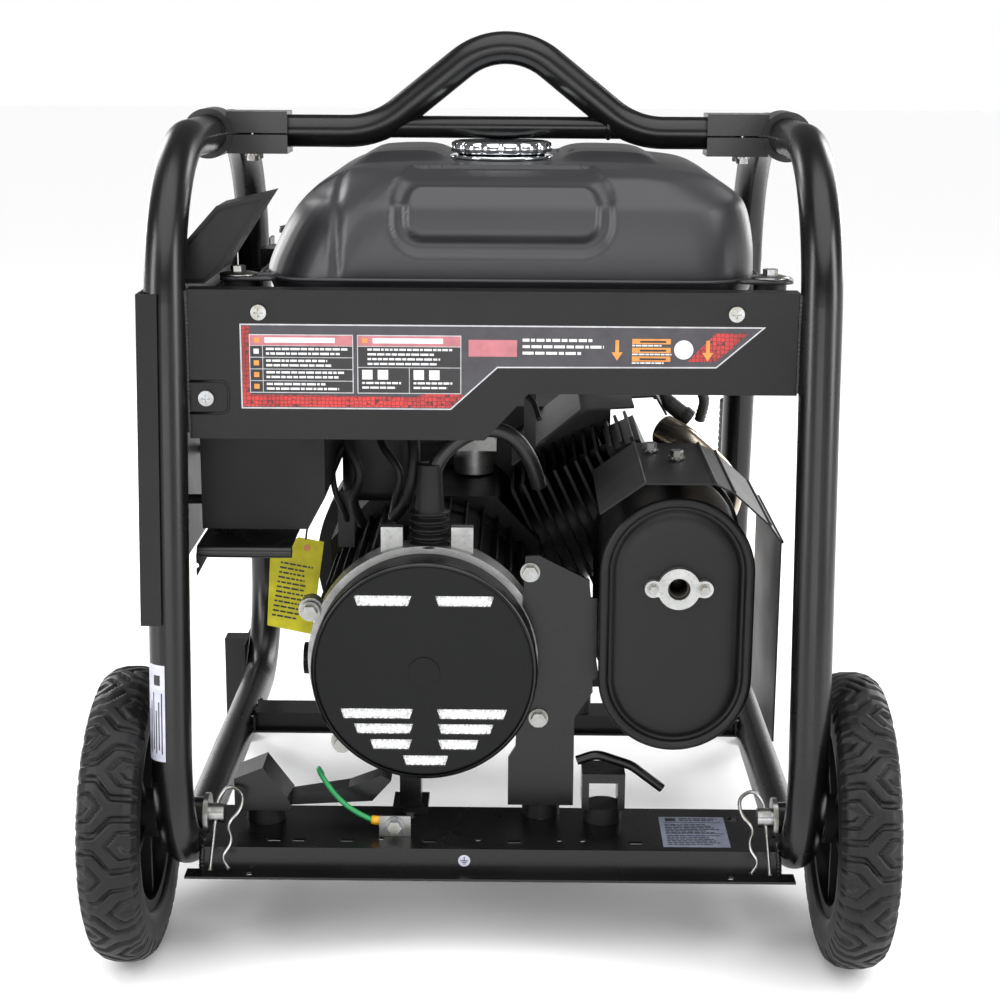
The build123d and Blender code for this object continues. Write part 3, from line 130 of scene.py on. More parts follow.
def finish(name, colour, tint, rough, grain, depth, metal=0.0, patch=60.0, sway=0.05, speck=None, gloss=0.5):
    """A surface of two near colours in soft patches, with a grain of real size and depth.

    rough sways either side of its value with the patches; speck is a colour that shows as fine
    flakes, one grain across, such as the sparkle in a coating or the dust in a casting's pits. gloss
    is lower where fine texture scatters the mirror-like part.
    """
    material, tree, shader = new_material(name)
    patches = noise(tree, patch, 4.0)
    grains = noise(tree, grain, 2.0)
    base = mix_colour(tree, spread(tree, patches, 0.0, 1.0), colour, tint)
    if speck:
        flakes = noise(tree, grain * 1.7, 1.0)
        base = mix_colour(tree, spread(tree, flakes, 0.0, 0.5, 0.62, 0.74), base, speck)
    tree.links.new(base, shader.inputs["Base Color"])
    tree.links.new(spread(tree, patches, rough - sway, rough + sway), shader.inputs["Roughness"])
    tree.links.new(bump(tree, grains, depth), shader.inputs["Normal"])
    shader.inputs["Metallic"].default_value = metal
    shader.inputs["Specular IOR Level"].default_value = gloss
    return material


# ---- finishes: each is named for what it is and how it was made ----
def powder_coat():
    """Baked powder coat on steel tube: satin black with a faint orange peel 1.6 mm across."""
    return finish("powder coat satin black", "#050506", "#080809", 0.28, 1.6, 0.03, patch=90, gloss=0.42)


def sheet_coat():
    """Fine-texture powder coat on folded sheet: a tight sand grain that dulls its gloss."""
    return finish("powder coat fine texture", "#08080a", "#0b0b0d", 0.42, 0.9, 0.05,
                  patch=70, speck="#16171a", gloss=0.3)


def tank_coat():
    """Sprayed enamel on pressed steel: smoother and glossier than the powder, wide peel."""
    material = finish("enamel black tank", "#262629", "#2b2b2e", 0.46, 2.4, 0.02, patch=120)
    shader = next(n for n in material.node_tree.nodes if n.type == "BSDF_PRINCIPLED")
    shader.inputs["Coat Weight"].default_value = 0.1
    shader.inputs["Coat Roughness"].default_value = 0.25
    return material


def wrinkle_coat():
    """Wrinkle enamel on the pressed cover: a leathery crinkle 1.5 mm across that kills the gloss."""
    return finish("wrinkle enamel black", "#040505", "#070808", 0.5, 1.5, 0.16, patch=30, gloss=0.22)


def moulded_plastic():
    """Spark-textured black polypropylene: matte, with fine even dimples from the mould."""
    return finish("moulded polypropylene black", "#050506", "#080809", 0.5, 0.8, 0.05, patch=50, gloss=0.28)


def soft_rubber():
    """Black nitrile rubber for mounts and boots: soft sheen, greyer where it has bloomed."""
    return finish("nitrile rubber black", "#050505", "#0b0b0b", 0.55, 0.7, 0.04, patch=14, gloss=0.35)


def tyre_rubber():
    """Foam-filled tyre compound: matte dark grey-black, faint mould mottling."""
    return finish("tyre compound", "#090909", "#101011", 0.48, 1.1, 0.07,
                  patch=22, speck="#1a1a1c", gloss=0.3)


def cast_alloy():
    """Die-cast aluminium left raw: bright grey skin with a fine pebble and darker pits."""
    return finish("die cast aluminium", "#b9bab8", "#9b9c9b", 0.42, 1.2, 0.09, 1.0, patch=18, speck="#6f706f")


def painted_casting():
    """Engine castings sprayed black: the pebble of the casting shows through, bare on worn edges."""
    return finish("painted engine casting", "#070708", "#0d0d0e", 0.4, 1.4, 0.1, 0.0,
                  patch=24, speck="#1c1c1d", gloss=0.3)


def zinc_plate():
    """Clear zinc plating on steel fasteners: bright, slightly blue, with soft cloudy patches."""
    return finish("zinc plated steel", "#a4a7ab", "#8f8b80", 0.3, 0.6, 0.03, 1.0, patch=9)


def turned_steel():
    """Turned and lightly oiled steel: grey, with a fine tool grain."""
    return finish("turned steel", "#8d8f92", "#7a7c80", 0.3, 0.5, 0.03, 1.0, patch=20)


def heat_coat():
    """High-temperature silicone coat on the muffler: flat black with a dry, sandy feel."""
    return finish("silicone heat coat", "#08080a", "#0c0c0e", 0.44, 0.6, 0.05,
                  patch=40, speck="#131315", gloss=0.3)


def pipe_steel():
    """Stainless exhaust tube: bright, straw and blue where the heat has tinted it."""
    return finish("heat tinted stainless", "#c4c2bd", "#a88f6c", 0.25, 0.8, 0.02, 1.0, patch=28)


def chrome_plate():
    """Bright chrome over pressed steel: near mirror, with a few faint wipe marks."""
    return finish("bright chrome", "#dfe1e3", "#cfd2d5", 0.09, 3.0, 0.01, 1.0, patch=25, sway=0.03)


def gloss_switch():
    """Glossy moulded ABS of the rocker paddles."""
    return finish("abs gloss red", "#7d1713", "#861a15", 0.22, 2.0, 0.01, patch=30)


def copper_lamination():
    """Stacked electrical steel, edge on: thin dark lines between grey sheets, varnished."""
    material, tree, shader = new_material("electrical steel stack")
    place = add(tree, "ShaderNodeTexCoord").outputs["Object"]
    # Sheets are 0.5 mm; they are drawn 1.2 mm thick so that they show.
    wave_inputs = {"Vector": place, "Scale": 1 / (1.2 * MM) / 6.283, "Distortion": 0.4}
    wave = add(tree, "ShaderNodeTexWave", wave_inputs, bands_direction="Y").outputs[0]
    patches = noise(tree, 15, 3.0)
    base = mix_colour(tree, spread(tree, patches, 0, 1), "#1b1a19", "#2a211b")
    tree.links.new(mix_colour(tree, wave, "#0b0b0b", base), shader.inputs["Base Color"])
    tree.links.new(bump(tree, wave, 0.1), shader.inputs["Normal"])
    shader.inputs["Metallic"].default_value = 0.7
    shader.inputs["Roughness"].default_value = 0.45
    return material


def foil_screen_painted_glow():
    """Crushed foil screen behind the louvres: Voronoi specks 2 mm apart shade it from light grey to white as
    painted glints, and a faint emission gives it a painted glow.
    """
    material, tree, shader = new_material("foil screen with painted glints and glow")
    place = add(tree, "ShaderNodeTexCoord").outputs["Object"]
    inputs = {"Vector": place, "Scale": 1 / (2.2 * MM), "Randomness": 1.0}
    cells = add(tree, "ShaderNodeTexVoronoi", inputs)
    # Painted glints: each Voronoi cell is lighter or darker as if its crushed facet caught the light.
    shade = mix_colour(tree, spread(tree, cells.outputs["Distance"], 1, 0, 0.25, 0.6), "#c9cacc", "#ffffff")
    tree.links.new(shade, shader.inputs["Base Color"])
    tree.links.new(bump(tree, cells.outputs["Distance"], 0.8), shader.inputs["Normal"])
    shader.inputs["Metallic"].default_value = 0.0
    shader.inputs["Roughness"].default_value = 0.3
    # Painted glow: the foil gives off a faint white light of its own, though it is no lamp.
    shader.inputs["Emission Color"].default_value = linear("#ffffff")
    shader.inputs["Emission Strength"].default_value = 0.12
    return material


def plain(name, colour, rough=0.45, metal=0.0):
    """A small printed or moulded area with a light mottling, so that no part of it is one flat tone."""
    shade = tuple(int(int(colour[i : i + 2], 16) * 0.86) for i in (1, 3, 5))
    tint = "#%02x%02x%02x" % shade
    return finish(name, colour, tint, rough, 0.5, 0.01, metal, patch=12, sway=0.04)


def honeycomb_print():
    """Red ink printed as a hexagon mesh, its red lighter and darker in soft patches."""
    material, tree, shader = new_material("red honeycomb print")
    place = add(tree, "ShaderNodeTexCoord").outputs["Object"]
    # Cells 3 mm across; a Voronoi of regular points gives the mesh.
    inputs = {"Vector": place, "Scale": 1 / (3.2 * MM), "Randomness": 0.25}
    cells = add(tree, "ShaderNodeTexVoronoi", inputs, feature="DISTANCE_TO_EDGE").outputs["Distance"]
    lines = spread(tree, cells, 1, 0, 0.02, 0.12)
    weave = noise(tree, 34, 2.0)
    red = mix_colour(tree, spread(tree, weave, 0, 1), "#7c1216", "#c12b28")
    dark = mix_colour(tree, lines, red, "#3a0709")
    tree.links.new(dark, shader.inputs["Base Color"])
    shader.inputs["Roughness"].default_value = 0.34
    return material


FINISHES = {}


def get(maker):
    """A finish, made once."""
    if maker.__name__ not in FINISHES:
        FINISHES[maker.__name__] = maker()
    return FINISHES[maker.__name__]


def tone(name, colour, rough=0.45, metal=0.0):
    """A small plain finish, made once."""
    if name not in FINISHES:
        FINISHES[name] = plain(name, colour, rough, metal)
    return FINISHES[name]


NODE_FINISHES = {
    powder_coat: [
        "left_frame_hoop", "right_frame_hoop", "front_cross_pan", "rear_cross_member", "lifting_handle",
        "support_legs", "left_fold_handle", "right_fold_handle", "tank_rails", "mount_brackets",
        "support_plate", "handle_clamps",
    ],
    sheet_coat: ["end_panel", "control_panel", "panel_hood", "heat_shield", "engine_shroud", "recoil_cover"],
    tank_coat: ["fuel_tank"],
    wrinkle_coat: ["alternator_end_cover"],
    moulded_plastic: [
        "left_rim", "right_rim", "panel_rear_box", "outlets", "outlet_cover_1", "outlet_cover_2",
        "outlet_cover_3", "breaker_button_1", "breaker_button_2", "breaker_button_3", "panel_fittings",
        "idle_switch", "recoil_grip", "air_cleaner", "oil_cap",
    ],
    soft_rubber: ["left_fold_grip", "right_fold_grip", "rubber_mounts", "cables_and_boots"],
    tyre_rubber: ["left_tyre", "right_tyre"],
    cast_alloy: ["piston", "flywheel_fan", "carburettor", "end_bracket", "outlet_flange"],
    painted_casting: ["crankcase", "cylinder_and_head"],
    zinc_plate: ["axle_pins", "fasteners", "choke_lever", "fuel_lever"],
    turned_steel: ["crankshaft"],
    chrome_plate: ["fuel_cap"],
    gloss_switch: ["engine_switch"],
    copper_lamination: ["stator", "rotor"],
    heat_coat: ["muffler_body"],
    pipe_steel: ["exhaust_pipe"],
    honeycomb_print: ["labels"],
}


# ---- mesh tools ----
def make_piece(name, points, faces, material, body="root", smooth=True):
    """A mesh object from points in metres and a list of faces, riding on a body."""
    mesh = bpy.data.meshes.new(name)
    corners = [list(map(int, face)) for face in faces]
    mesh.from_pydata(np.asarray(points, float).reshape(-1, 3).tolist(), [], corners)
    mesh.validate()
    mesh.update()
    mesh.shade_smooth() if smooth else mesh.shade_flat()
    mesh.materials.append(material)
    piece = bpy.data.objects.new(name, mesh)
    bpy.context.scene.collection.objects.link(piece)
    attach(piece, body)
    return piece


def grid_faces(rows, columns, close_rows=False, close_columns=False):
    """Quads of a grid of points, row by row; a closed direction joins its last line to its first."""
    r = np.arange(rows if close_rows else rows - 1)
    c = np.arange(columns if close_columns else columns - 1)
    rr, cc = np.meshgrid(r, c, indexing="ij")
    r2, c2 = (rr + 1) % rows, (cc + 1) % columns
    quads = np.stack([rr * columns + cc, rr * columns + c2, r2 * columns + c2, r2 * columns + cc], -1)
    return quads.reshape(-1, 4)


def rounded(points, radii, step=4.0, closed=False):
    """A path through corner points with each corner an arc of its radius, sampled every few mm.

    The arc starts and ends at radius times the tangent of half the turn from the corner.
    """
    points = [np.array(p, float) for p in points]
    count = len(points)
    corners = range(count) if closed else range(1, count - 1)
    path = [] if closed else [points[0]]
    for index, corner in enumerate(corners):
        before, here, after = points[corner - 1], points[corner], points[(corner + 1) % count]
        a = (before - here) / np.linalg.norm(before - here)
        b = (after - here) / np.linalg.norm(after - here)
        turn = math.pi - math.acos(float(np.clip(a @ b, -1, 1)))
        radius = radii[index] if hasattr(radii, "__len__") else radii
        reach = radius * math.tan(turn / 2)
        centre = here + (a + b) / np.linalg.norm(a + b) * radius / math.cos(turn / 2)
        first, last = here + a * reach - centre, here + b * reach - centre
        steps = max(3, int(radius * turn / step))
        t = np.linspace(0, 1, steps + 1)[:, None]
        arc = (np.sin((1 - t) * turn) * first + np.sin(t * turn) * last) / math.sin(turn)
        path.extend(list(centre + arc))
    if not closed:
        path.append(points[-1])
    return np.array(path)


def frames_along(path, closed=False):
    """Tangent, side and up vectors along a path, turned as little as possible from point to point."""
    path = np.asarray(path, float)
    ahead = np.roll(path, -1, 0) - np.roll(path, 1, 0)
    if not closed:
        ahead[0], ahead[-1] = path[1] - path[0], path[-1] - path[-2]
    tangent = ahead / np.linalg.norm(ahead, axis=1)[:, None]
    seed = np.array([1.0, 0, 0]) if abs(tangent[0][0]) < 0.9 else np.array([0, 0, 1.0])
    sides = []
    for direction in tangent:
        seed = seed - direction * (seed @ direction)
        seed = seed / np.linalg.norm(seed)
        sides.append(seed)
    side = np.array(sides)
    return tangent, side, np.cross(tangent, side)


def tube(path, radius, sides=24, closed=False, caps=True):
    """Points and faces of a round tube: each path point plus radius times cosine of the angle along
    the side vector and sine along the up vector. radius may vary along the path."""
    path = np.asarray(path, float)
    _, side, up = frames_along(path, closed)
    angle = np.linspace(0, 2 * math.pi, sides, endpoint=False)
    radius = np.broadcast_to(np.asarray(radius, float), (len(path),))[:, None, None]
    ring = np.cos(angle)[None, :, None] * side[:, None] + np.sin(angle)[None, :, None] * up[:, None]
    points = (path[:, None] + radius * ring).reshape(-1, 3)
    faces = [tuple(f) for f in grid_faces(len(path), sides, closed, True)]
    if caps and not closed:
        faces.append(tuple(range(sides))[::-1])
        faces.append(tuple(range((len(path) - 1) * sides, len(path) * sides)))
    return points, [f[::-1] for f in faces]


def turned(profile, centre, axis="y", sides=96, closed_ends=True):
    """A profile of (distance along, radius) pairs spun about an axis through centre, in drawing mm."""
    profile = np.asarray(profile, float)
    angle = np.linspace(0, 2 * math.pi, sides, endpoint=False)
    along = np.repeat(profile[:, 0][:, None], sides, 1)
    across = profile[:, 1][:, None] * np.cos(angle)
    rise = profile[:, 1][:, None] * np.sin(angle)
    order = {"x": (along, across, rise), "y": (across, along, rise), "z": (across, rise, along)}[axis]
    points = np.stack(order, -1).reshape(-1, 3) + np.array(centre, float)
    faces = [tuple(f) for f in grid_faces(len(profile), sides, False, True)]
    if closed_ends:
        faces.append(tuple(range(sides))[::-1])
        faces.append(tuple(range((len(profile) - 1) * sides, len(profile) * sides)))
    return points, faces


def merged(parts):
    """Several (points, faces) sets as one."""
    points, faces, offset = [], [], 0
    for some, their in parts:
        some = np.asarray(some, float).reshape(-1, 3)
        points.append(some)
        faces.extend([tuple(int(i) + offset for i in f) for f in their])
        offset += len(some)
    return np.concatenate(points), faces


def drawn(points):
    """Drawing millimetres to frame metres, for whole arrays."""
    return (np.asarray(points, float) + np.array([0, DRAWING_Y, DRAWING_Z])) * MM


def put_right(piece):
    """Merge doubles and turn every face outwards."""
    import bmesh

    work = bmesh.new()
    work.from_mesh(piece.data)
    bmesh.ops.remove_doubles(work, verts=work.verts, dist=0.00002)
    bmesh.ops.recalc_face_normals(work, faces=work.faces)
    work.to_mesh(piece.data)
    work.free()
    return piece


# ---- places that several pieces share, in drawing millimetres ----
CRANK_X, CRANK_Z = -55, 274
CAP_MIDDLE = (4, -38)
MUFFLER_MIDDLE = (149, 316)
MUFFLER_HALF_W, MUFFLER_HALF_H = 63, 107
OUTLET_X, OUTLET_Z, OUTLET_R = 150, 349, 9.0
POST_X, POST_R = -251, 16.0


# ---- stage ----
CAMERA_PLACE = (19.0, -1694.0, 775.0)


class GeneratorStage(bpy.types.PropertyGroup):
    """Where the camera stands and how bright the studio is."""

    lens: FloatProperty(name="Lens", description="Focal length", default=68.4, min=20, max=200, unit="CAMERA")
    pitch: FloatProperty(
        name="Pitch", description="How far the camera looks down", default=math.radians(13.6), subtype="ANGLE"
    )
    yaw: FloatProperty(name="Yaw", description="Camera turn", default=math.radians(-0.5), subtype="ANGLE")
    roll: FloatProperty(name="Roll", description="Camera roll", default=math.radians(0.345), subtype="ANGLE")
    backdrop: FloatVectorProperty(
        name="Backdrop", description="Floor colour", default=(0.96, 0.96, 0.96), subtype="COLOR"
    )
    overhead: FloatProperty(name="Overhead", description="Overhead diffuser, W/m2", default=3.0, min=0)
    side_light: FloatProperty(name="Side light", description="Soft boxes at the sides, W", default=34, min=0)
    front_light: FloatProperty(name="Front light", description="Low soft box in front, W", default=20, min=0)
    sky_light: FloatProperty(
        name="Sky light", description="Brightness of the upper room", default=0.16, min=0
    )


def area_light(name, place, target, size, power, colour=(1, 1, 1)):
    """A soft box: an area light aimed at a point."""
    light = bpy.data.lights.new(name, "AREA")
    light.shape = "RECTANGLE"
    light.size, light.size_y = size
    light.energy = power
    light.color = colour
    lamp = bpy.data.objects.new(name, light)
    bpy.context.scene.collection.objects.link(lamp)
    lamp.location = place
    lamp.rotation_euler = (Vector(target) - Vector(place)).to_track_quat("-Z", "Y").to_euler()
    lamp.visible_camera = False
    return lamp


class OBJECT_OT_generator_stage(bpy.types.Operator):
    """Make the floor, the studio lights and the camera"""

    bl_idname = "object.generator_stage"
    bl_label = "Stage"

    def execute(self, context):
        props = context.scene.generator_stage
        bpy.ops.mesh.primitive_plane_add(size=40, location=(0, 0, -0.0005))
        floor = context.active_object
        floor.name = "floor"
        material, tree, shader = new_material("studio floor")
        shader.inputs["Base Color"].default_value = tuple(props.backdrop) + (1,)
        shader.inputs["Roughness"].default_value = 0.9
        floor.data.materials.append(material)
        context.scene.view_settings.view_transform = "Standard"
        world = bpy.data.worlds.new("studio")
        context.scene.world = world
        world.use_nodes = True
        sky = world.node_tree
        ahead = add(sky, "ShaderNodeTexCoord").outputs["Generated"]
        height = add(sky, "ShaderNodeSeparateXYZ", {"Vector": ahead}).outputs["Z"]
        shade = add(
            sky,
            "ShaderNodeMapRange",
            {"Value": height, "From Min": 0.05, "From Max": 0.2, "To Min": 1.0, "To Max": props.sky_light},
        )
        sky.links.new(shade.outputs[0], sky.nodes["Background"].inputs[1])
        sky.nodes["Background"].inputs[0].default_value = (1, 1, 1, 1)
        sun = bpy.data.lights.new("overhead diffuser", "SUN")
        sun.energy = props.overhead
        sun.angle = math.radians(75)
        lamp = bpy.data.objects.new("overhead diffuser", sun)
        context.scene.collection.objects.link(lamp)
        lamp.rotation_euler = (math.radians(24), math.radians(4), 0)
        middle = (0, 0, 0.38)
        area_light("left soft box", (-2.0, -1.2, 1.1), middle, (0.7, 1.7), props.side_light)
        area_light("right soft box", (2.1, -1.0, 1.1), middle, (0.7, 1.7), props.side_light)
        area_light("front soft box", (0.0, -3.3, 0.55), (0, 0, 0.5), (2.4, 0.9), props.front_light)
        area_light("far left soft box", (-1.7, 1.9, 1.2), middle, (0.7, 1.7), props.side_light)
        area_light("far right soft box", (1.7, 1.9, 1.2), middle, (0.7, 1.7), props.side_light)
        camera = bpy.data.objects.new("camera", bpy.data.cameras.new("camera"))
        context.scene.collection.objects.link(camera)
        camera.data.lens = props.lens
        camera.data.sensor_width = 36
        cp, sp = math.cos(props.pitch), math.sin(props.pitch)
        forward = Vector((math.sin(props.yaw) * cp, math.cos(props.yaw) * cp, -sp))
        right = Vector((math.cos(props.yaw), -math.sin(props.yaw), 0))
        up = right.cross(forward)
        cr, sr = math.cos(props.roll), math.sin(props.roll)
        right, up = right * cr + up * sr, up * cr - right * sr
        turn = Matrix((right, up, -forward)).transposed().to_4x4()
        camera.matrix_world = Matrix.Translation(at(*CAMERA_PLACE)) @ turn
        context.scene.camera = camera
        return {"FINISHED"}


class OBJECT_OT_generator_finishes(bpy.types.Operator):
    """Give every drawn part its finish"""

    bl_idname = "object.generator_finishes"
    bl_label = "Finishes"

    def execute(self, context):
        for maker, names in NODE_FINISHES.items():
            for name in names:
                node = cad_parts[name]
                node.data.materials.clear()
                node.data.materials.append(get(maker))
        return {"FINISHED"}


# ---- fuel tank ----
class GeneratorTank(bpy.types.PropertyGroup):
    """The pressed groove in the tank's near face."""

    groove_depth: FloatProperty(
        name="Groove depth", description="Depth of the pressed groove", default=0.0055, unit="LENGTH"
    )
    groove_width: FloatProperty(
        name="Groove width", description="Half width of the groove", default=0.0075, unit="LENGTH"
    )


# Height, left X, right X, half depth and corner radius of the tank's outline, drawing mm.
TANK_LEVELS = [
    (553, -160, 184, 178, 40), (570, -178, 202, 194, 42), (589, -187, 209, 202, 50),
    (600, -185, 209, 203, 54), (614, -179, 209, 203, 56),
    (628, -172, 207, 202, 56), (642, -163, 204, 200, 56),
    (650, -156, 201, 198, 56), (654, -152, 198, 194, 56), (661, -144, 189, 188, 56),
    (668, -131, 176, 182, 54), (671, -123, 166, 178, 52), (673.5, -111, 148, 167, 48),
    (675, -92, 124, 146, 40), (676, -60, 84, 110, 26), (676.5, -20, 44, 50, 12),
]


# The near left corner sweeps round wider than the others, by this factor.
LEFT_CORNER = 1.45


def outline_ring(left, right, half_y, corner, count, near_left=None):
    """A rounded rectangle walked at an even pace from the middle of its near side; near_left is the
    radius of that one corner where it differs."""
    wide = near_left or corner
    spans = [
        np.array([[(left + right) / 2, -half_y], [right - corner, -half_y]]),
        corner_arc(right - corner, -half_y + corner, corner, -90),
        corner_arc(right - corner, half_y - corner, corner, 0),
        corner_arc(left + corner, half_y - corner, corner, 90),
        corner_arc(left + wide, -half_y + wide, wide, 180),
        np.array([[(left + right) / 2, -half_y]]),
    ]
    path = np.concatenate(spans)
    steps = np.concatenate([[0], np.cumsum(np.linalg.norm(np.diff(path, axis=0), axis=1))])
    pace = np.linspace(0, steps[-1], count, endpoint=False)
    return np.stack([np.interp(pace, steps, path[:, 0]), np.interp(pace, steps, path[:, 1])], -1)


def corner_arc(x, y, radius, start):
    """A quarter circle about a corner's centre, from an angle in degrees."""
    turn = np.radians(np.linspace(start, start + 90, 13))
    return np.stack([x + radius * np.cos(turn), y + radius * np.sin(turn)], -1)


class OBJECT_OT_generator_tank(bpy.types.Operator):
    """Press the fuel tank: stacked rounded outlines with a grooved panel, flange, ears and neck"""

    bl_idname = "object.generator_tank"
    bl_label = "Fuel tank"

    def execute(self, context):
        props = context.scene.generator_tank
        depth, width = props.groove_depth / MM, props.groove_width / MM
        levels = np.array(TANK_LEVELS, float)
        walk = np.concatenate([[0], np.cumsum(np.linalg.norm(np.diff(levels[:, :4], axis=0), axis=1))])
        pace = np.linspace(0, walk[-1], 110)
        rows = np.stack([np.interp(pace, walk, levels[:, k]) for k in range(5)], -1)
        kernel = np.array([1, 2, 3, 2, 1]) / 9
        padded = np.pad(rows, ((2, 2), (0, 0)), mode="edge")
        rows = np.stack([np.convolve(padded[:, k], kernel, "valid") for k in range(5)], -1)
        count = 560
        rings = np.stack([outline_ring(r[1], r[2], r[3], r[4], count, r[4] * LEFT_CORNER) for r in rows])
        x, y = rings[..., 0], rings[..., 1]
        z = np.repeat(rows[:, 0][:, None], count, 1)
        # The groove follows a rounded rectangle; its depth falls off with distance from that line.
        qx = np.abs(x - 6.2) - (81 - 18)
        qz = np.abs(z - 644.5) - (26.5 - 18)
        line = np.hypot(np.maximum(qx, 0), np.maximum(qz, 0)) + np.minimum(np.maximum(qx, qz), 0) - 18
        near = y < -120
        fall = np.clip(1 - (line / width) ** 2, 0, 1) ** 0.8 * near
        bevelled = np.clip((z - 648) / 8, 0, 1)
        crease = np.exp(-(((x + 124) / 3.6) ** 2)) * near * np.clip((z - 590) / 8, 0, 1) * 3.2
        step = np.clip((-124 - x) / 10, 0, 1) * near * np.clip((z - 590) / 10, 0, 1) * 2.5
        inward = depth * fall + crease + step
        y = y + inward * (1 - 0.45 * bevelled)
        z = z - inward * bevelled * 0.8
        # Two humps rise behind the cap and a shallow valley lies between them.
        top = np.clip((z - 668) / 6, 0, 1)
        far = np.clip((y + 70) / 50, 0, 1) * np.clip((165 - y) / 40, 0, 1)
        hump = np.clip(1 - (np.abs(np.abs(x - 6) - 91) / 42) ** 4, 0, 1)
        z = z + top * far * hump * 6.5
        body = np.stack([x, y, z], -1).reshape(-1, 3)
        faces = [tuple(f) for f in grid_faces(len(rows), count, False, True)]
        faces.append(tuple(range((len(rows) - 1) * count, len(rows) * count)))
        faces.append(tuple(range(count))[::-1])
        tank = make_piece("fuel_tank_shell", drawn(body), faces, get(tank_coat))
        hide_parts("fuel_tank")
        seam = outline_ring(-190, 214, 207, 52, 240)
        shape = [(589.6, 0), (589.6, 1), (591.2, 1.8), (592.8, 1), (592.8, 0)]
        rim = []
        for height, grow in shape:
            ring = (seam - [12, 0]) * (1 + (grow - 2) / 200) + [12, 0]
            rim.append(np.column_stack([ring, np.full(len(ring), height)]))
        parts = [(np.concatenate(rim), [tuple(f) for f in grid_faces(len(shape), 240, True, True)])]
        for side in (-194, 214):
            for end in (-190, 190):
                ear = outline_ring(side - 22, side + 22, 18, 10, 60) + [0, end]
                low, high = np.full((60, 1), 590.4), np.full((60, 1), 593.4)
                points = np.concatenate([np.hstack([ear, low]), np.hstack([ear, high])])
                ear_faces = [tuple(f) for f in grid_faces(2, 60, False, True)]
                ear_faces += [tuple(range(60))[::-1], tuple(range(60, 120))]
                parts.append((points, ear_faces))
        neck = [(672, 38), (677, 39), (679, 37), (680, 33), (680, 28), (672, 28)]
        parts.append(turned(neck, (*CAP_MIDDLE, 0), "z", 64, False))
        gauge = [(673, 20), (677, 20), (681, 18), (681.5, 15), (680.4, 14), (680.4, 1)]
        parts.append(turned(gauge, (80, 22, 0), "z", 48))
        points, faces = merged(parts)
        flange = make_piece("fuel_tank_flange", drawn(points), faces, get(tank_coat))
        put_right(flange)
        return {"FINISHED"}


class OBJECT_OT_generator_cap(bpy.types.Operator):
    """Spin the scalloped chrome filler cap: radius plus a cosine of the angle times its lobes"""

    bl_idname = "object.generator_cap"
    bl_label = "Filler cap"

    def execute(self, context):
        turn = np.linspace(0, 2 * math.pi, 280, endpoint=False)
        profile = np.array([(678, 36, 0), (680.6, 37.5, 0), (681.2, 40, 0.3), (682.4, 42.8, 1),
                            (686, 43.6, 1), (690, 42.6, 1), (691.6, 39.5, 0.8), (691.9, 31, 0.1),
                            (690.4, 28, 0), (690.4, 2, 0)])
        lobes = np.abs(np.cos(turn * 7))
        radius = profile[:, 1][:, None] - profile[:, 2][:, None] * 3.4 * (1 - lobes**0.55)
        points = np.stack(
            [CAP_MIDDLE[0] + radius * np.cos(turn), CAP_MIDDLE[1] + radius * np.sin(turn),
             np.repeat(profile[:, :1], 280, 1)], -1
        ).reshape(-1, 3)
        faces = [tuple(f) for f in grid_faces(len(profile), 280, False, True)]
        faces += [tuple(range(280))[::-1], tuple(range(9 * 280, 10 * 280))]
        cap = make_piece("filler_cap_chrome", drawn(points), faces, get(chrome_plate), "filler_cap")
        put_right(cap)
        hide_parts("fuel_cap")
        collar = [(675.6, 40), (677.5, 44), (679.2, 44), (680, 42), (680, 36), (675.6, 36)]
        ring = turned(collar, (*CAP_MIDDLE, 0), "z", 96, False)
        base = put_right(make_piece("filler_neck_ring", drawn(ring[0]), ring[1], get(chrome_plate)))
        return {"FINISHED"}


# ---- tyres ----
class GeneratorTyre(bpy.types.PropertyGroup):
    """The tread of the tyres."""

    pitches: IntProperty(name="Pitches", description="Tread blocks round the tyre", default=13, min=6)
    groove: FloatProperty(name="Groove", description="Depth of the grooves", default=0.0042, unit="LENGTH")


TYRE_PROFILE = [(-18.0, 80.2), (-21.5, 83.0), (-23.6, 88.5), (-24.2, 97.0), (-23.4, 106.0), (-20.6, 113.4),
                (-14.0, 118.2), (-6.0, 120.2), (6.0, 120.2), (14.0, 118.2), (20.6, 113.4), (23.4, 106.0),
                (24.2, 97.0), (23.6, 88.5), (21.5, 83.0), (18.0, 80.2)]


def tread_cut(u, phase):
    """How deep the tread is cut, 0 to 1, at u across the tyre and a phase along one pitch.

    Two slanting grooves cross each pitch; between them, a half hexagon with a smaller one inside
    opens to each shoulder in turn.
    """
    slant = np.clip((u + 0.35) / 0.6, 0, 1)

    def off(value):
        return np.abs((phase - value + 0.5) % 1 - 0.5)

    def edge(distance, half, soft):
        return np.clip((half - distance) / soft, 0, 1)

    cut = np.maximum(edge(off(-0.22 * slant), 0.052, 0.018), edge(off(0.23 + 0.26 * slant), 0.052, 0.018))
    for centre, sign in ((0.135, 1), (0.615, -1)):
        away = off(centre) / 0.2
        reach = (1.0 - sign * u) / 0.95
        ring = np.maximum(away, 0.5 * away + reach)
        outer = edge(np.abs(ring - 0.93), 0.1, 0.05) * 0.75
        inner = np.clip((0.5 - ring) / 0.07, 0, 1) * 0.6
        cut = np.maximum(cut, np.maximum(outer, inner))
    return cut


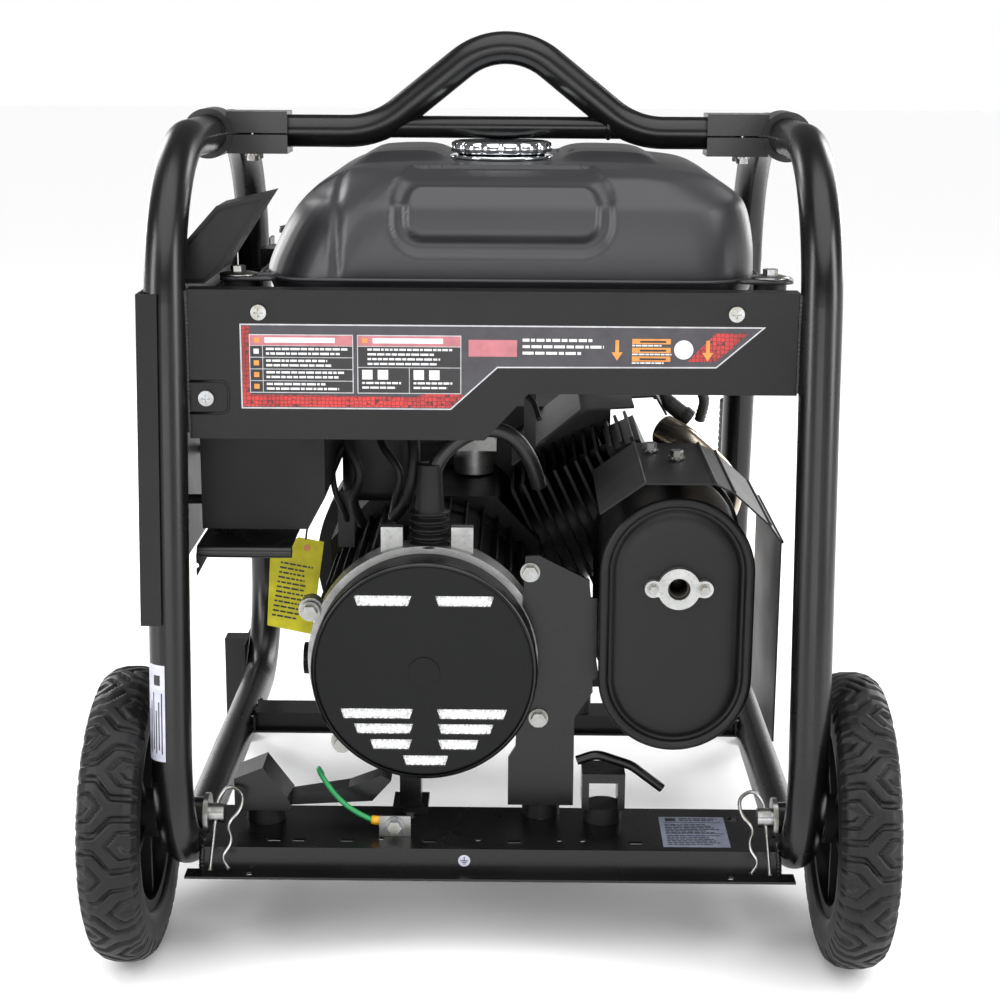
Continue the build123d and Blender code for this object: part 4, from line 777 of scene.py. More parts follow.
class OBJECT_OT_generator_tyres(bpy.types.Operator):
    """Mould the tyres: a spun profile, cut by a tread pattern that repeats round it"""

    bl_idname = "object.generator_tyres"
    bl_label = "Tyres"

    def execute(self, context):
        props = context.scene.generator_tyre
        profile = np.array(TYRE_PROFILE)
        walk = np.concatenate([[0], np.cumsum(np.linalg.norm(np.diff(profile, axis=0), axis=1))])
        pace = np.linspace(0, walk[-1], 62)
        across = np.interp(pace, walk, profile[:, 0])[:, None]
        radius = np.interp(pace, walk, profile[:, 1])[:, None]
        turn = np.linspace(0, 2 * math.pi, 780, endpoint=False)[None]
        weight = np.clip((radius - 101) / 7, 0, 1)
        phase = (turn / (2 * math.pi) * props.pitches) % 1
        cut = tread_cut(across / 21, phase) * weight
        wall = 0.9 * np.exp(-(((radius - 99) / 1.6) ** 2)) + 0.8 * np.exp(-(((radius - 86) / 1.2) ** 2))
        for side, body in ((-1, "left_wheel"), (1, "right_wheel")):
            spun = radius - props.groove / MM * cut
            x = side * 294.75 + across * (1 - 0.012 * wall) + 0 * turn
            y = -235 + spun * np.cos(turn)
            z = 155 + spun * np.sin(turn)
            points = np.stack([x, y, z], -1).reshape(-1, 3)
            faces = [tuple(f) for f in grid_faces(62, 780, True, True)]
            name = body.split("_")[0] + "_tyre_tread"
            tyre = put_right(make_piece(name, drawn(points), faces, get(tyre_rubber), body))
            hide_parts(body.split("_")[0] + "_tyre")
        return {"FINISHED"}


# ---- prints and labels ----
class GeneratorPrints(bpy.types.PropertyGroup):
    """The printed films on the machine."""

    film: FloatProperty(
        name="Film", description="Thickness of one print layer", default=0.00014, unit="LENGTH"
    )


def rectangle(left, low, right, high):
    """A flat box outline."""
    return [(left, low), (right, low), (right, high), (left, high)]


def disc(x, y, wide, tall, sides=28):
    """An ellipse outline."""
    turn = np.linspace(0, 2 * math.pi, sides, endpoint=False)
    return list(zip(x + wide * np.cos(turn), y + tall * np.sin(turn)))


def bars(left, right, top, rows, pitch, height, seed, material, layer=2):
    """Rows of short bars that stand where lines of print would be."""
    random = np.random.RandomState(seed)
    result = []
    for row in range(rows):
        x = left
        stop = right - (right - left) * random.uniform(0, 0.3)
        while x < stop:
            wide = min(random.uniform(1.2, 4.2) * height, stop - x)
            y = top - row * pitch
            result.append((rectangle(x, y - height, x + wide, y), layer, material))
            x += wide + 0.55 * height
    return result


def shrunk(outline, inset):
    """An outline moved inwards by a distance, each corner along the mean of its two sides' normals."""
    points = np.array(outline, float)
    ahead = np.roll(points, -1, 0) - points
    ahead /= np.linalg.norm(ahead, axis=1)[:, None]
    behind = np.roll(ahead, 1, 0)
    area = np.sum(points[:, 0] * np.roll(points[:, 1], -1) - np.roll(points[:, 0], -1) * points[:, 1])
    turn = 1 if area > 0 else -1
    normal_a = np.stack([-ahead[:, 1], ahead[:, 0]], -1) * turn
    normal_b = np.stack([-behind[:, 1], behind[:, 0]], -1) * turn
    middle = normal_a + normal_b
    middle /= np.sum(middle * normal_a, axis=1)[:, None]
    return [tuple(p) for p in points + middle * inset]


def print_piece(name, origin, right, up, items, film_mm, body="root", first=0.0):
    """Thin films stacked on a plane: each item is an outline, a layer number and a finish."""
    right, up = np.array(right, float), np.array(up, float)
    out = np.cross(right, up)
    out /= np.linalg.norm(out)
    points, faces, marks, finishes = [], [], [], []
    for outline, layer, material in items:
        if material not in finishes:
            finishes.append(material)
        flat = np.array(outline, float)
        area = np.sum(flat[:, 0] * np.roll(flat[:, 1], -1) - np.roll(flat[:, 0], -1) * flat[:, 1])
        if area < 0:
            flat = flat[::-1]
        base = np.array(origin, float) + flat[:, :1] * right + flat[:, 1:] * up
        low = base + out * (first + (layer - 1) * film_mm if layer > 0 else first)
        high = base + out * (first + (layer + 0.6) * film_mm)
        start, count = sum(len(p) for p in points), len(flat)
        points += [low, high]
        index = np.arange(count)
        new = [tuple(start + index[::-1]), tuple(start + count + index)]
        new += [(start + i, start + (i + 1) % count, start + count + (i + 1) % count, start + count + i)
                for i in range(count)]
        faces += new
        marks += [finishes.index(material)] * len(new)
    piece = make_piece(name, drawn(np.concatenate(points)), faces, finishes[0], body, smooth=False)
    for material in finishes[1:]:
        piece.data.materials.append(material)
    piece.data.polygons.foreach_set("material_index", marks)
    return piece


def label_tones():
    """The inks and films of the labels."""
    return {
        "film": tone("label film charcoal", "#353338", 0.38),
        "edge": tone("label film light edge", "#b9babd", 0.4),
        "ink": tone("label ink white", "#d9d9da", 0.4),
        "orange": tone("label ink amber", "#d98a3d", 0.4),
        "dark": tone("label ink black", "#161518", 0.4),
        "rose": tone("label ink rose", "#b36a72", 0.4),
        "steel": tone("label film silver", "#8d93a8", 0.35, 0.3),
        "yellow": tone("tag card yellow", "#e0d716", 0.6),
        "white": tone("label paper white", "#c3c4d2", 0.5),
    }


def decal_items(tones, red):
    """The end panel's decal: a bordered film, red mesh areas, two blank tables, arrows and plain marks."""
    outline = [(-194, 563), (209, 563), (172, 531), (4, 530), (-32, 497), (-194, 497)]
    items = [(outline, 0, tones["edge"]), (shrunk(outline, 1.1), 1, tones["film"])]
    items.append(([(-192.4, 561.4), (-186, 561.4), (-187.5, 530), (-186, 498.8), (-192.4, 498.8)], 2, red))
    items.append(([(-186, 498.8), (-186, 508), (-60, 507), (-40, 512), (-22, 508.5), (-32.6, 498.8)], 2, red))
    items.append(([(171, 558), (196, 558), (171.5, 536), (150, 536), (158, 545)], 2, red))
    for left, right, seed in ((-187, -107, 4), (-104, -24, 9)):
        items.append((rectangle(left, 509.5, right, 555), 3, tones["edge"]))
        items.append((rectangle(left + 0.7, 546.5, right - 0.7, 554.3), 4, tones["rose"]))
        items.append((rectangle(left + 12, 548.6, right - 14, 552.6), 5, tones["ink"]))
        items.append((rectangle(left + 4, 548.8, left + 8, 552.4), 5, tones["orange"]))
        if seed == 4:
            for row in range(4):
                low = 510.2 + row * 9.1
                items.append((rectangle(left + 0.7, low, left + 10, low + 8.5), 4, tones["dark"]))
                items.append((rectangle(left + 10.6, low, right - 0.7, low + 8.5), 4, tones["dark"]))
                mark = tones["ink"] if row == 3 else tones["orange"]
                items.append((rectangle(left + 3.4, low + 2.5, left + 7.4, low + 6.3), 5, mark))
                items += bars(left + 13, right - 3, low + 7.1, 2, 3.6, 1.7, seed + row, tones["ink"], 5)
        else:
            items.append((rectangle(left + 0.7, 530.2, right - 0.7, 545.9), 4, tones["dark"]))
            items += bars(left + 8, right - 6, 544.6, 4, 3.7, 1.6, 21, tones["ink"], 5)
            middle = (left + right) / 2
            for a, b in ((left + 0.7, middle - 0.3), (middle + 0.3, right - 0.7)):
                items.append((rectangle(a, 510.2, b, 529.6), 4, tones["dark"]))
                items.append((rectangle(a + 3, 520.5, a + 11, 528), 5, tones["ink"]))
                items.append((rectangle(a + 15, 520.5, a + 23, 528), 5, tones["ink"]))
                items += bars(a + 3, b - 2, 518.6, 2, 3.6, 1.6, 40, tones["ink"], 5)
    items.append((rectangle(-18.4, 538.9, 18.8, 551.9), 3, tones["rose"]))
    items += bars(23, 87, 553, 3, 5.0, 2.2, 63, tones["ink"], 3)
    for x in (95.5, 165.0):
        arrow = [(x - 1.4, 552.5), (x + 1.4, 552.5), (x + 1.4, 543), (x + 4.2, 543), (x, 536.6),
                 (x - 4.2, 543), (x - 1.4, 543)]
        items.append((arrow, 4, tones["orange"]))
    for top in (553.5, 546.7, 540.0):
        items.append((rectangle(107, top - 4.0, 136.5, top), 3, tones["orange"]))
        items.append((rectangle(113, top - 2.9, 133, top - 1.4), 4, tones["dark"]))
        items += bars(107, 138, top - 4.6, 1, 3, 1.1, int(top), tones["ink"], 3)
    items.append((disc(146.5, 545.2, 7.4, 7.4), 3, tones["ink"]))
    return items


class OBJECT_OT_generator_labels(bpy.types.Operator):
    """Print the end panel's decal, the plates, the post strip and the hang tag"""

    bl_idname = "object.generator_labels"
    bl_label = "Labels"

    def execute(self, context):
        film = context.scene.generator_prints.film / MM
        tones = label_tones()
        red = get(honeycomb_print)
        across, rise = (1, 0, 0), (0, 0, 1)
        decal = print_piece("end_panel_decal", (0, -250.1, 0), across, rise, decal_items(tones, red), film)
        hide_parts("labels")
        # Silver plate lying on the pan, with blank rows of print.
        plate = [(rectangle(0, 0, 55, 62), 0, tones["steel"])]
        for box in ((3, 50, 52, 50.8), (3, 27, 52, 27.8), (5, 53, 14, 59)):
            plate.append((rectangle(*box), 1, tones["dark"]))
        plate += bars(17, 51, 59, 2, 3.4, 1.7, 5, tones["dark"], 1)
        plate += bars(4, 51, 47, 6, 3.3, 1.5, 6, tones["dark"], 1)
        plate += bars(4, 51, 24, 6, 3.6, 1.5, 7, tones["dark"], 1)
        print_piece("rating_plate", (142, -248, 134.1), across, (0, 1, 0), plate, film)
        # Earth mark on the pan's front lip.
        mark = [(disc(0, 0, 5.6, 5.6), 0, tones["dark"]), (disc(0, 0, 4.9, 4.9), 1, tones["white"])]
        for box in ((-0.4, 0, 0.4, 3.6), (-3, -0.4, 3, 0.4), (-2, -1.8, 2, -1.1), (-1, -3.1, 1, -2.5)):
            mark.append((rectangle(*box), 2, tones["dark"]))
        print_piece("earth_mark", (-21, -256.1, 124), across, rise, mark, film)
        # Narrow white strip on the near left post.
        strip_points, strip_faces = [], []
        patches = [(6, 74, 0, 76, 0.25, 16)]
        patches += [(14 + 9 * k, 17 + 9 * k, 6 + 3 * (k % 2), 54 - 7 * (k % 3), 0.45, 2) for k in range(6)]
        patches.append((20, 40, 60, 68, 0.45, 6))
        marks = []
        for number, (first, last, low, high, lift, count) in enumerate(patches):
            turn = np.radians(np.linspace(first, last, count))
            height = np.array([low, high]) + 226.0
            away = POST_R + lift
            x = POST_X - away * np.sin(turn)[None]
            y = -(300 - 65 * (height[:, None] - 118) / 577) - away * np.cos(turn)[None]
            outer = np.stack(np.broadcast_arrays(x, y, height[:, None]), -1).reshape(-1, 3)
            inner = outer + [0.2 * lift, 0.2 * lift, 0]
            strip_points.append((np.concatenate([outer, inner]), None))
            base = sum(len(p[0]) for p in strip_points[:-1])
            quads = grid_faces(2, count)
            both = [tuple(base + q) for q in quads] + [tuple(base + len(outer) + q[::-1]) for q in quads]
            edge = list(range(count)) + list(range(2 * count - 1, count - 1, -1))
            for here, there in zip(edge, edge[1:] + edge[:1]):
                both.append((base + there, base + here, base + len(outer) + here, base + len(outer) + there))
            strip_faces += both
            marks += [0 if number == 0 else 1] * len(both)
        points = np.concatenate([p[0] for p in strip_points])
        strip = make_piece("post_strip", drawn(points), strip_faces, tones["white"], smooth=False)
        strip.data.materials.append(tones["dark"])
        strip.data.polygons.foreach_set("material_index", marks)
        tag_outline = [(-169, 356), (-158, 354), (-147, 352), (-159, 268), (-198, 276), (-194, 340)]
        tag = [(tag_outline, 0, tones["yellow"])]
        lines = bars(-188, -158, 334, 12, 4.4, 1.6, 11, tones["dark"], 1)
        lean = np.array([[0.98, -0.18], [0.18, 0.98]])
        centre = np.array([-173, 312])
        for outline, layer, material in lines:
            turned_bar = (np.array(outline) - centre) @ lean + centre + [-1, -2]
            tag.append(([tuple(p) for p in turned_bar], layer, material))
        tag.append((disc(-162, 346.5, 3, 3, 14), 1, tones["orange"]))
        print_piece("hang_tag", (0, -104.6, 0), across, rise, tag, film * 2)
        return {"FINISHED"}


# ---- cables ----
class GeneratorCables(bpy.types.PropertyGroup):
    """Thickness of the cables."""

    harness: FloatProperty(name="Harness", description="Harness radius", default=0.0065, unit="LENGTH")
    lead: FloatProperty(name="Plug lead", description="Plug lead radius", default=0.0035, unit="LENGTH")
    ground: FloatProperty(name="Ground wire", description="Ground wire radius", default=0.0022, unit="LENGTH")


def smooth_route(points, step=2.0):
    """A centripetal curve through all the points, in even steps: cubic between neighbours, with
    tangents from the points before and after."""
    points = np.array(points, float)
    ends = np.vstack([2 * points[0] - points[1], points, 2 * points[-1] - points[-2]])
    pieces = []
    for index in range(1, len(ends) - 2):
        a, b, c, d = ends[index - 1 : index + 3]
        t = np.linspace(0, 1, 16, endpoint=False)[:, None]
        pieces.append(0.5 * (2 * b + (c - a) * t + (2 * a - 5 * b + 4 * c - d) * t**2
                             + (3 * b - a - 3 * c + d) * t**3))
    path = np.vstack(pieces + [points[-1:]])
    walk = np.concatenate([[0], np.cumsum(np.linalg.norm(np.diff(path, axis=0), axis=1))])
    pace = np.linspace(0, walk[-1], max(8, int(walk[-1] / step)))
    return np.stack([np.interp(pace, walk, path[:, k]) for k in range(3)], -1)


def spline_route(points, step=2.0):
    """The line of an order 3 NURBS spline whose control points are the route's points, in even steps."""
    data = bpy.data.curves.new("route", "CURVE")
    data.dimensions = "3D"
    data.resolution_u = 24
    spline = data.splines.new("NURBS")
    spline.points.add(len(points) - 1)
    spline.points.foreach_set("co", [value for point in points for value in (*point, 1.0)])
    spline.order_u = 3
    spline.use_endpoint_u = True
    carrier = bpy.data.objects.new("route", data)
    line = bpy.data.meshes.new_from_object(carrier)
    flat = np.empty(len(line.vertices) * 3)
    line.vertices.foreach_get("co", flat)
    bpy.data.objects.remove(carrier)
    bpy.data.curves.remove(data)
    bpy.data.meshes.remove(line)
    path = flat.reshape(-1, 3)
    walk = np.concatenate([[0], np.cumsum(np.linalg.norm(np.diff(path, axis=0), axis=1))])
    pace = np.linspace(0, walk[-1], max(8, int(walk[-1] / step)))
    return np.stack([np.interp(pace, walk, path[:, k]) for k in range(3)], -1)


LEAD_ROUTE = [(154.4, 10, 459.4), (143.4, 10, 483), (128, 44, 500), (106, 76, 500), (86, 106, 488),
              (76, 130, 462), (74, 138, 431)]
HARNESS_ROUTE = [(-52, -176, 403.3), (-52, -176, 430), (-32, -174, 458), (2, -172, 470), (30, -166, 448),
                 (38, -150, 414)]
GROUND_ROUTE = [(-143, -190, 172), (-146, -197, 182), (-142, -208, 178), (-129, -217, 163),
                (-113, -222, 151), (-98, -224, 145)]
LOOM_ROUTE = [(120, -30, 476), (146, -34, 492), (172, -30, 486), (186, -20, 466), (184, -10, 444)]
STRING_ROUTE = [(-158, -113, 376), (-164, -108, 354), (-163, -96, 346)]


class OBJECT_OT_generator_cables(bpy.types.Operator):
    """Lay the harness, plug lead, ground wire and tag string as round tubes along their routes"""

    bl_idname = "object.generator_cables"
    bl_label = "Cables"

    def execute(self, context):
        props = context.scene.generator_cables
        rubber, black = get(soft_rubber), tone("cable sheath black", "#131314", 0.4)
        path = spline_route(HARNESS_ROUTE)
        harness = make_piece("harness_cable", *drawn_tube(path, props.harness / MM, 28), black)
        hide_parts("cables_and_boots")
        # Corrugated boot: five rings over a flared foot.
        along = np.linspace(352, 438, 150)
        radius = np.where(along < 362, 21 - (along - 352) * 0.55, 15.5)
        ribs = (along > 364) & (along < 398)
        radius = radius + ribs * 2.4 * np.cos((along - 364) / 34 * 10 * math.pi) - ribs * 1.0
        radius = np.where(along > 398, 12.2 - (along - 398) * 0.06, radius)
        profile = np.column_stack([along, radius])
        points, faces = turned(profile, (-52, -176, 0), "z", 48)
        boot = put_right(make_piece("harness_boot", drawn(points), faces, rubber))
        lead_path = spline_route(LEAD_ROUTE)
        lead = make_piece("plug_lead", *drawn_tube(lead_path, props.lead / MM, 20), black)
        ground = spline_route(GROUND_ROUTE, 1.2)
        wire = make_piece("ground_wire", *drawn_tube(ground, props.ground / MM, 20),
                          tone("wire insulation green", "#1c8f4e", 0.35))
        crimp_path = np.array([(-99, -223.8, 145.3), (-95, -224, 145), (-84, -224, 144.2)])
        crimp = make_piece("crimp_sleeve", *drawn_tube(crimp_path, [3.4, 3.8, 3.5], 24),
                           tone("vinyl sleeve yellow", "#e2a311", 0.35))
        eye = [(143.2, 4.5), (144.6, 4.5), (144.6, 8.6), (143.2, 8.6)]
        ring = turned(eye, (-76, -224, 0), "z", 40, False)
        terminal = put_right(make_piece("ring_terminal", drawn(ring[0]), ring[1], get(zinc_plate)))
        thread_path = spline_route(STRING_ROUTE, 1.0)
        thread = make_piece("tag_string", *drawn_tube(thread_path, 0.9, 10), rubber)
        # Spark plug, cap and its elbow at the end of the lead.
        cap_path = smooth_route([(176, 10, 440), (166, 10, 448), (158, 10, 455), (152, 10, 465)], 2.0)
        along_cap = np.linspace(0, 1, len(cap_path))
        cap_radius = np.interp(along_cap, [0, 0.2, 0.24, 0.7, 0.8, 1], [9, 9, 7.6, 7.2, 5.6, 5])
        cap = make_piece("plug_cap", *drawn_tube(cap_path, cap_radius, 28), rubber)
        # Second loom under the tank, clipped to the shroud.
        loom_path = smooth_route(LOOM_ROUTE)
        wave = 4.6 + 0.5 * np.cos(np.arange(len(loom_path)) * math.pi * 0.9)
        loom = make_piece("loom_conduit", *drawn_tube(loom_path, wave, 20), black)
        return {"FINISHED"}


def drawn_tube(path, radius, sides):
    """A tube in frame metres from a route in drawing millimetres."""
    points, faces = tube(path, radius, sides)
    return drawn(points), faces


# ---- muffler ----
class GeneratorMuffler(bpy.types.PropertyGroup):
    """The rolled rim of the muffler."""

    roll: FloatProperty(name="Roll", description="Radius of the rolled rim", default=0.004, unit="LENGTH")


def oval_ring(inset):
    """The muffler's outline moved inwards: two half circles joined by straight sides."""
    radius, lift = MUFFLER_HALF_W - inset, MUFFLER_HALF_H - MUFFLER_HALF_W
    up = np.linspace(-lift, lift, 44, endpoint=False)
    turn = np.linspace(0, math.pi, 64, endpoint=False)
    right = np.stack([np.full(44, radius), up], -1)
    over = np.stack([radius * np.cos(turn), lift + radius * np.sin(turn)], -1)
    return np.concatenate([right, over, -right, -over]) + MUFFLER_MIDDLE


class OBJECT_OT_generator_muffler(bpy.types.Operator):
    """Form the muffler: a seam profile carried round an oval, with a dished and embossed face"""

    bl_idname = "object.generator_muffler"
    bl_label = "Muffler"

    def execute(self, context):
        roll = context.scene.generator_muffler.roll / MM
        front = -228 + roll
        turn = np.radians(np.linspace(-70, 200, 14))
        rim = [(0.6 + roll - roll * math.cos(b), front - roll * math.sin(b)) for b in turn]
        inner = [(9.4, -221.6), (10.6, -221.4)]
        dish = [(inset, -222.5 - 3.9 * (1 - math.exp(-(inset - 12.5) / 5)))
                for inset in np.arange(12.5, 62.6, 1.5)]
        face = dish + [(63, -226.4)]
        back = [(4.2, -214), (4.2, -180), (4.4, -115), (3.5, -108), (0.4, -106), (0.2, -101),
                (5, -100.2), (63, -100.4)]
        profile = face[::-1] + inner[::-1] + rim[::-1] + back
        rows = [np.column_stack([oval_ring(inset), np.full(216, y)]) for inset, y in profile]
        points = np.stack(rows)[:, :, [0, 2, 1]]
        points = points.reshape(-1, 3)
        quads = grid_faces(len(profile), 216, False, True)
        # The outlet's hole: faces in front of the pipe's bore are left out.
        bore = np.hypot(points[:, 0] - OUTLET_X, points[:, 2] - OUTLET_Z) < OUTLET_R
        bore &= points[:, 1] < -220
        faces = [tuple(f) for f in quads[~bore[quads].all(1)]]
        can = put_right(make_piece("muffler_can", drawn(points), faces, get(heat_coat)))
        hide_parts("muffler_body")
        tail = turned([(-228.5, 8.9), (-223, 9.6), (-200, 9.6), (-200, 7.4), (-228.5, 7.4), (-228.5, 8.9)],
                      (OUTLET_X, 0, OUTLET_Z), "y", 40, False)
        sooted = tone("sooted steel", "#2c2721", 0.6)
        stub = put_right(make_piece("outlet_stub", drawn(tail[0]), tail[1], sooted))
        mesh = turned([(-208, 0.5), (-206, 7.6)], (150, 0, 349), "y", 40)
        spark = make_piece("spark_screen", drawn(mesh[0]), mesh[1], sooted)
        return {"FINISHED"}


# ---- alternator ----
class OBJECT_OT_generator_alternator(bpy.types.Operator):
    """Fill the louvres with foil that carries painted glints and a painted glow, and dress the alternator's cover
    and bracket
    """

    bl_idname = "object.generator_alternator"
    bl_label = "Alternator cover"

    def execute(self, context):
        random = np.random.RandomState(8)
        size = 110
        grid_x, grid_z = np.meshgrid(np.linspace(-77, 77, size), np.linspace(-84, 70, size), indexing="ij")
        lift = random.uniform(-0.9, 0.9, grid_x.shape)
        inside = np.hypot(grid_x, grid_z) < 86
        points = np.stack([CRANK_X + grid_x, -218.9 + 0.7 * lift * inside, CRANK_Z + grid_z], -1).reshape(-1, 3)
        quads = grid_faces(size, size)
        keep = inside.reshape(-1)[quads].all(1)
        faces = [tuple(f) for f in quads[keep]]
        # The foil's finish paints glints and a faint glow onto it.
        foil = make_piece("louvre_foil", drawn(points), faces, get(foil_screen_painted_glow), smooth=False)
        modifier = foil.modifiers.new("thickness", "SOLIDIFY")
        modifier.thickness = 0.4 * MM
        # Rolled edge of the cover, where the front turns into the side.
        bead = turned([(-223.4, 89.6), (-222.9, 91.2), (-221.4, 92.7),
                       (-219.6, 92.9), (-219.6, 91.0), (-222, 89.6)],
                      (CRANK_X, 0, CRANK_Z), "y", 160, False)
        edge = put_right(make_piece("cover_bead", drawn(bead[0]), bead[1], get(powder_coat)))
        # Cooling fins along the bracket and stator housing.
        fins, fin_r = [], 96.5
        box_faces = [(0, 1, 2, 3), (7, 6, 5, 4), (0, 4, 5, 1),
                     (1, 5, 6, 2), (2, 6, 7, 3), (3, 7, 4, 0)]
        for turn in np.radians(np.arange(18, 175, 9)):
            middle = np.array([CRANK_X + fin_r * math.cos(turn), 0, CRANK_Z + fin_r * math.sin(turn)])
            out = np.array([math.cos(turn), 0, math.sin(turn)])
            side = np.array([-math.sin(turn), 0, math.cos(turn)])
            corners = [middle + out * a + side * b + np.array([0, y, 0])
                       for y in (-163, -20) for a, b in ((-3, -1.4), (3, -0.8), (3, 0.8), (-3, 1.4))]
            fins.append((np.array(corners), box_faces))
        points, faces = merged(fins)
        finned = put_right(make_piece("stator_fins", drawn(points), faces, get(heat_coat), smooth=False))
        return {"FINISHED"}


# ---- grips and welds ----
class OBJECT_OT_generator_grips(bpy.types.Operator):
    """Mould ribbed grips: a tube whose radius carries a ring every few millimetres"""

    bl_idname = "object.generator_grips"
    bl_label = "Handle grips"

    def execute(self, context):
        for side in ("left", "right"):
            body, name = side + "_carry_handle", side + "_fold_grip"
            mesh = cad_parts[name].data
            places = np.empty(len(mesh.vertices) * 3)
            mesh.vertices.foreach_get("co", places)
            places = places.reshape(-1, 3)
            centre = places.mean(0)
            _, _, axes = np.linalg.svd(places - centre, full_matrices=False)
            axis = axes[0] / np.linalg.norm(axes[0])
            reach = np.abs((places - centre) @ axis).max()
            away = places - centre
            radius = np.linalg.norm(away - (away @ axis)[:, None] * axis, axis=1).max()
            t = np.linspace(-1, 1, 260)
            rings = 1 - 0.07 * (np.abs(np.sin(t * reach / MM * math.pi / 7)) ** 6) * (np.abs(t) < 0.86)
            ends = np.clip((1 - np.abs(t)) / 0.02, 0.55, 1)
            points, faces = tube(centre + np.outer(t * reach, axis), radius * rings * ends, 40)
            grip = put_right(make_piece(name + "_ribbed", points, faces, get(soft_rubber), body))
            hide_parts(name)
        return {"FINISHED"}


def weld_bead(path, radius=2.6, pitch=3.4):
    """A weld: a tube whose radius swells with every ripple of the torch."""
    path = smooth_route(path, 0.9)
    walk = np.concatenate([[0], np.cumsum(np.linalg.norm(np.diff(path, axis=0), axis=1))])
    swell = radius * (0.86 + 0.14 * np.abs(np.sin(walk / pitch * math.pi)))
    return tube(path, swell, 10)


class OBJECT_OT_generator_welds(bpy.types.Operator):
    """Lay the weld beads at the frame's joints"""

    bl_idname = "object.generator_welds"
    bl_label = "Welds"

    def execute(self, context):
        beads = []
        for side in (-1, 1):
            x = side * 236
            for y in (-255, -169):
                beads.append(weld_bead([(x, y, 112), (x - side * 0.5, y, 123), (x - side * 1.5, y, 133)]))
            for y in (56, 106):
                beads.append(weld_bead([(x, y, 116), (x - side * 0.5, y, 125), (x - side, y, 133)]))
            panel_foot = 478 if side < 0 else 512
            beads.append(weld_bead([(side * 235.4, -249.6, z) for z in (588, 560, 530, panel_foot)], 2.2))
            turn = np.radians(np.linspace(0, 300, 14))
            collar = [(side * 97, 9.8 * math.cos(a), 702 + 9.8 * math.sin(a)) for a in turn]
            beads.append(weld_bead(collar, 2.0))
        points, faces = merged(beads)
        welds = make_piece("weld_beads", drawn(points), faces, get(powder_coat))
        return {"FINISHED"}


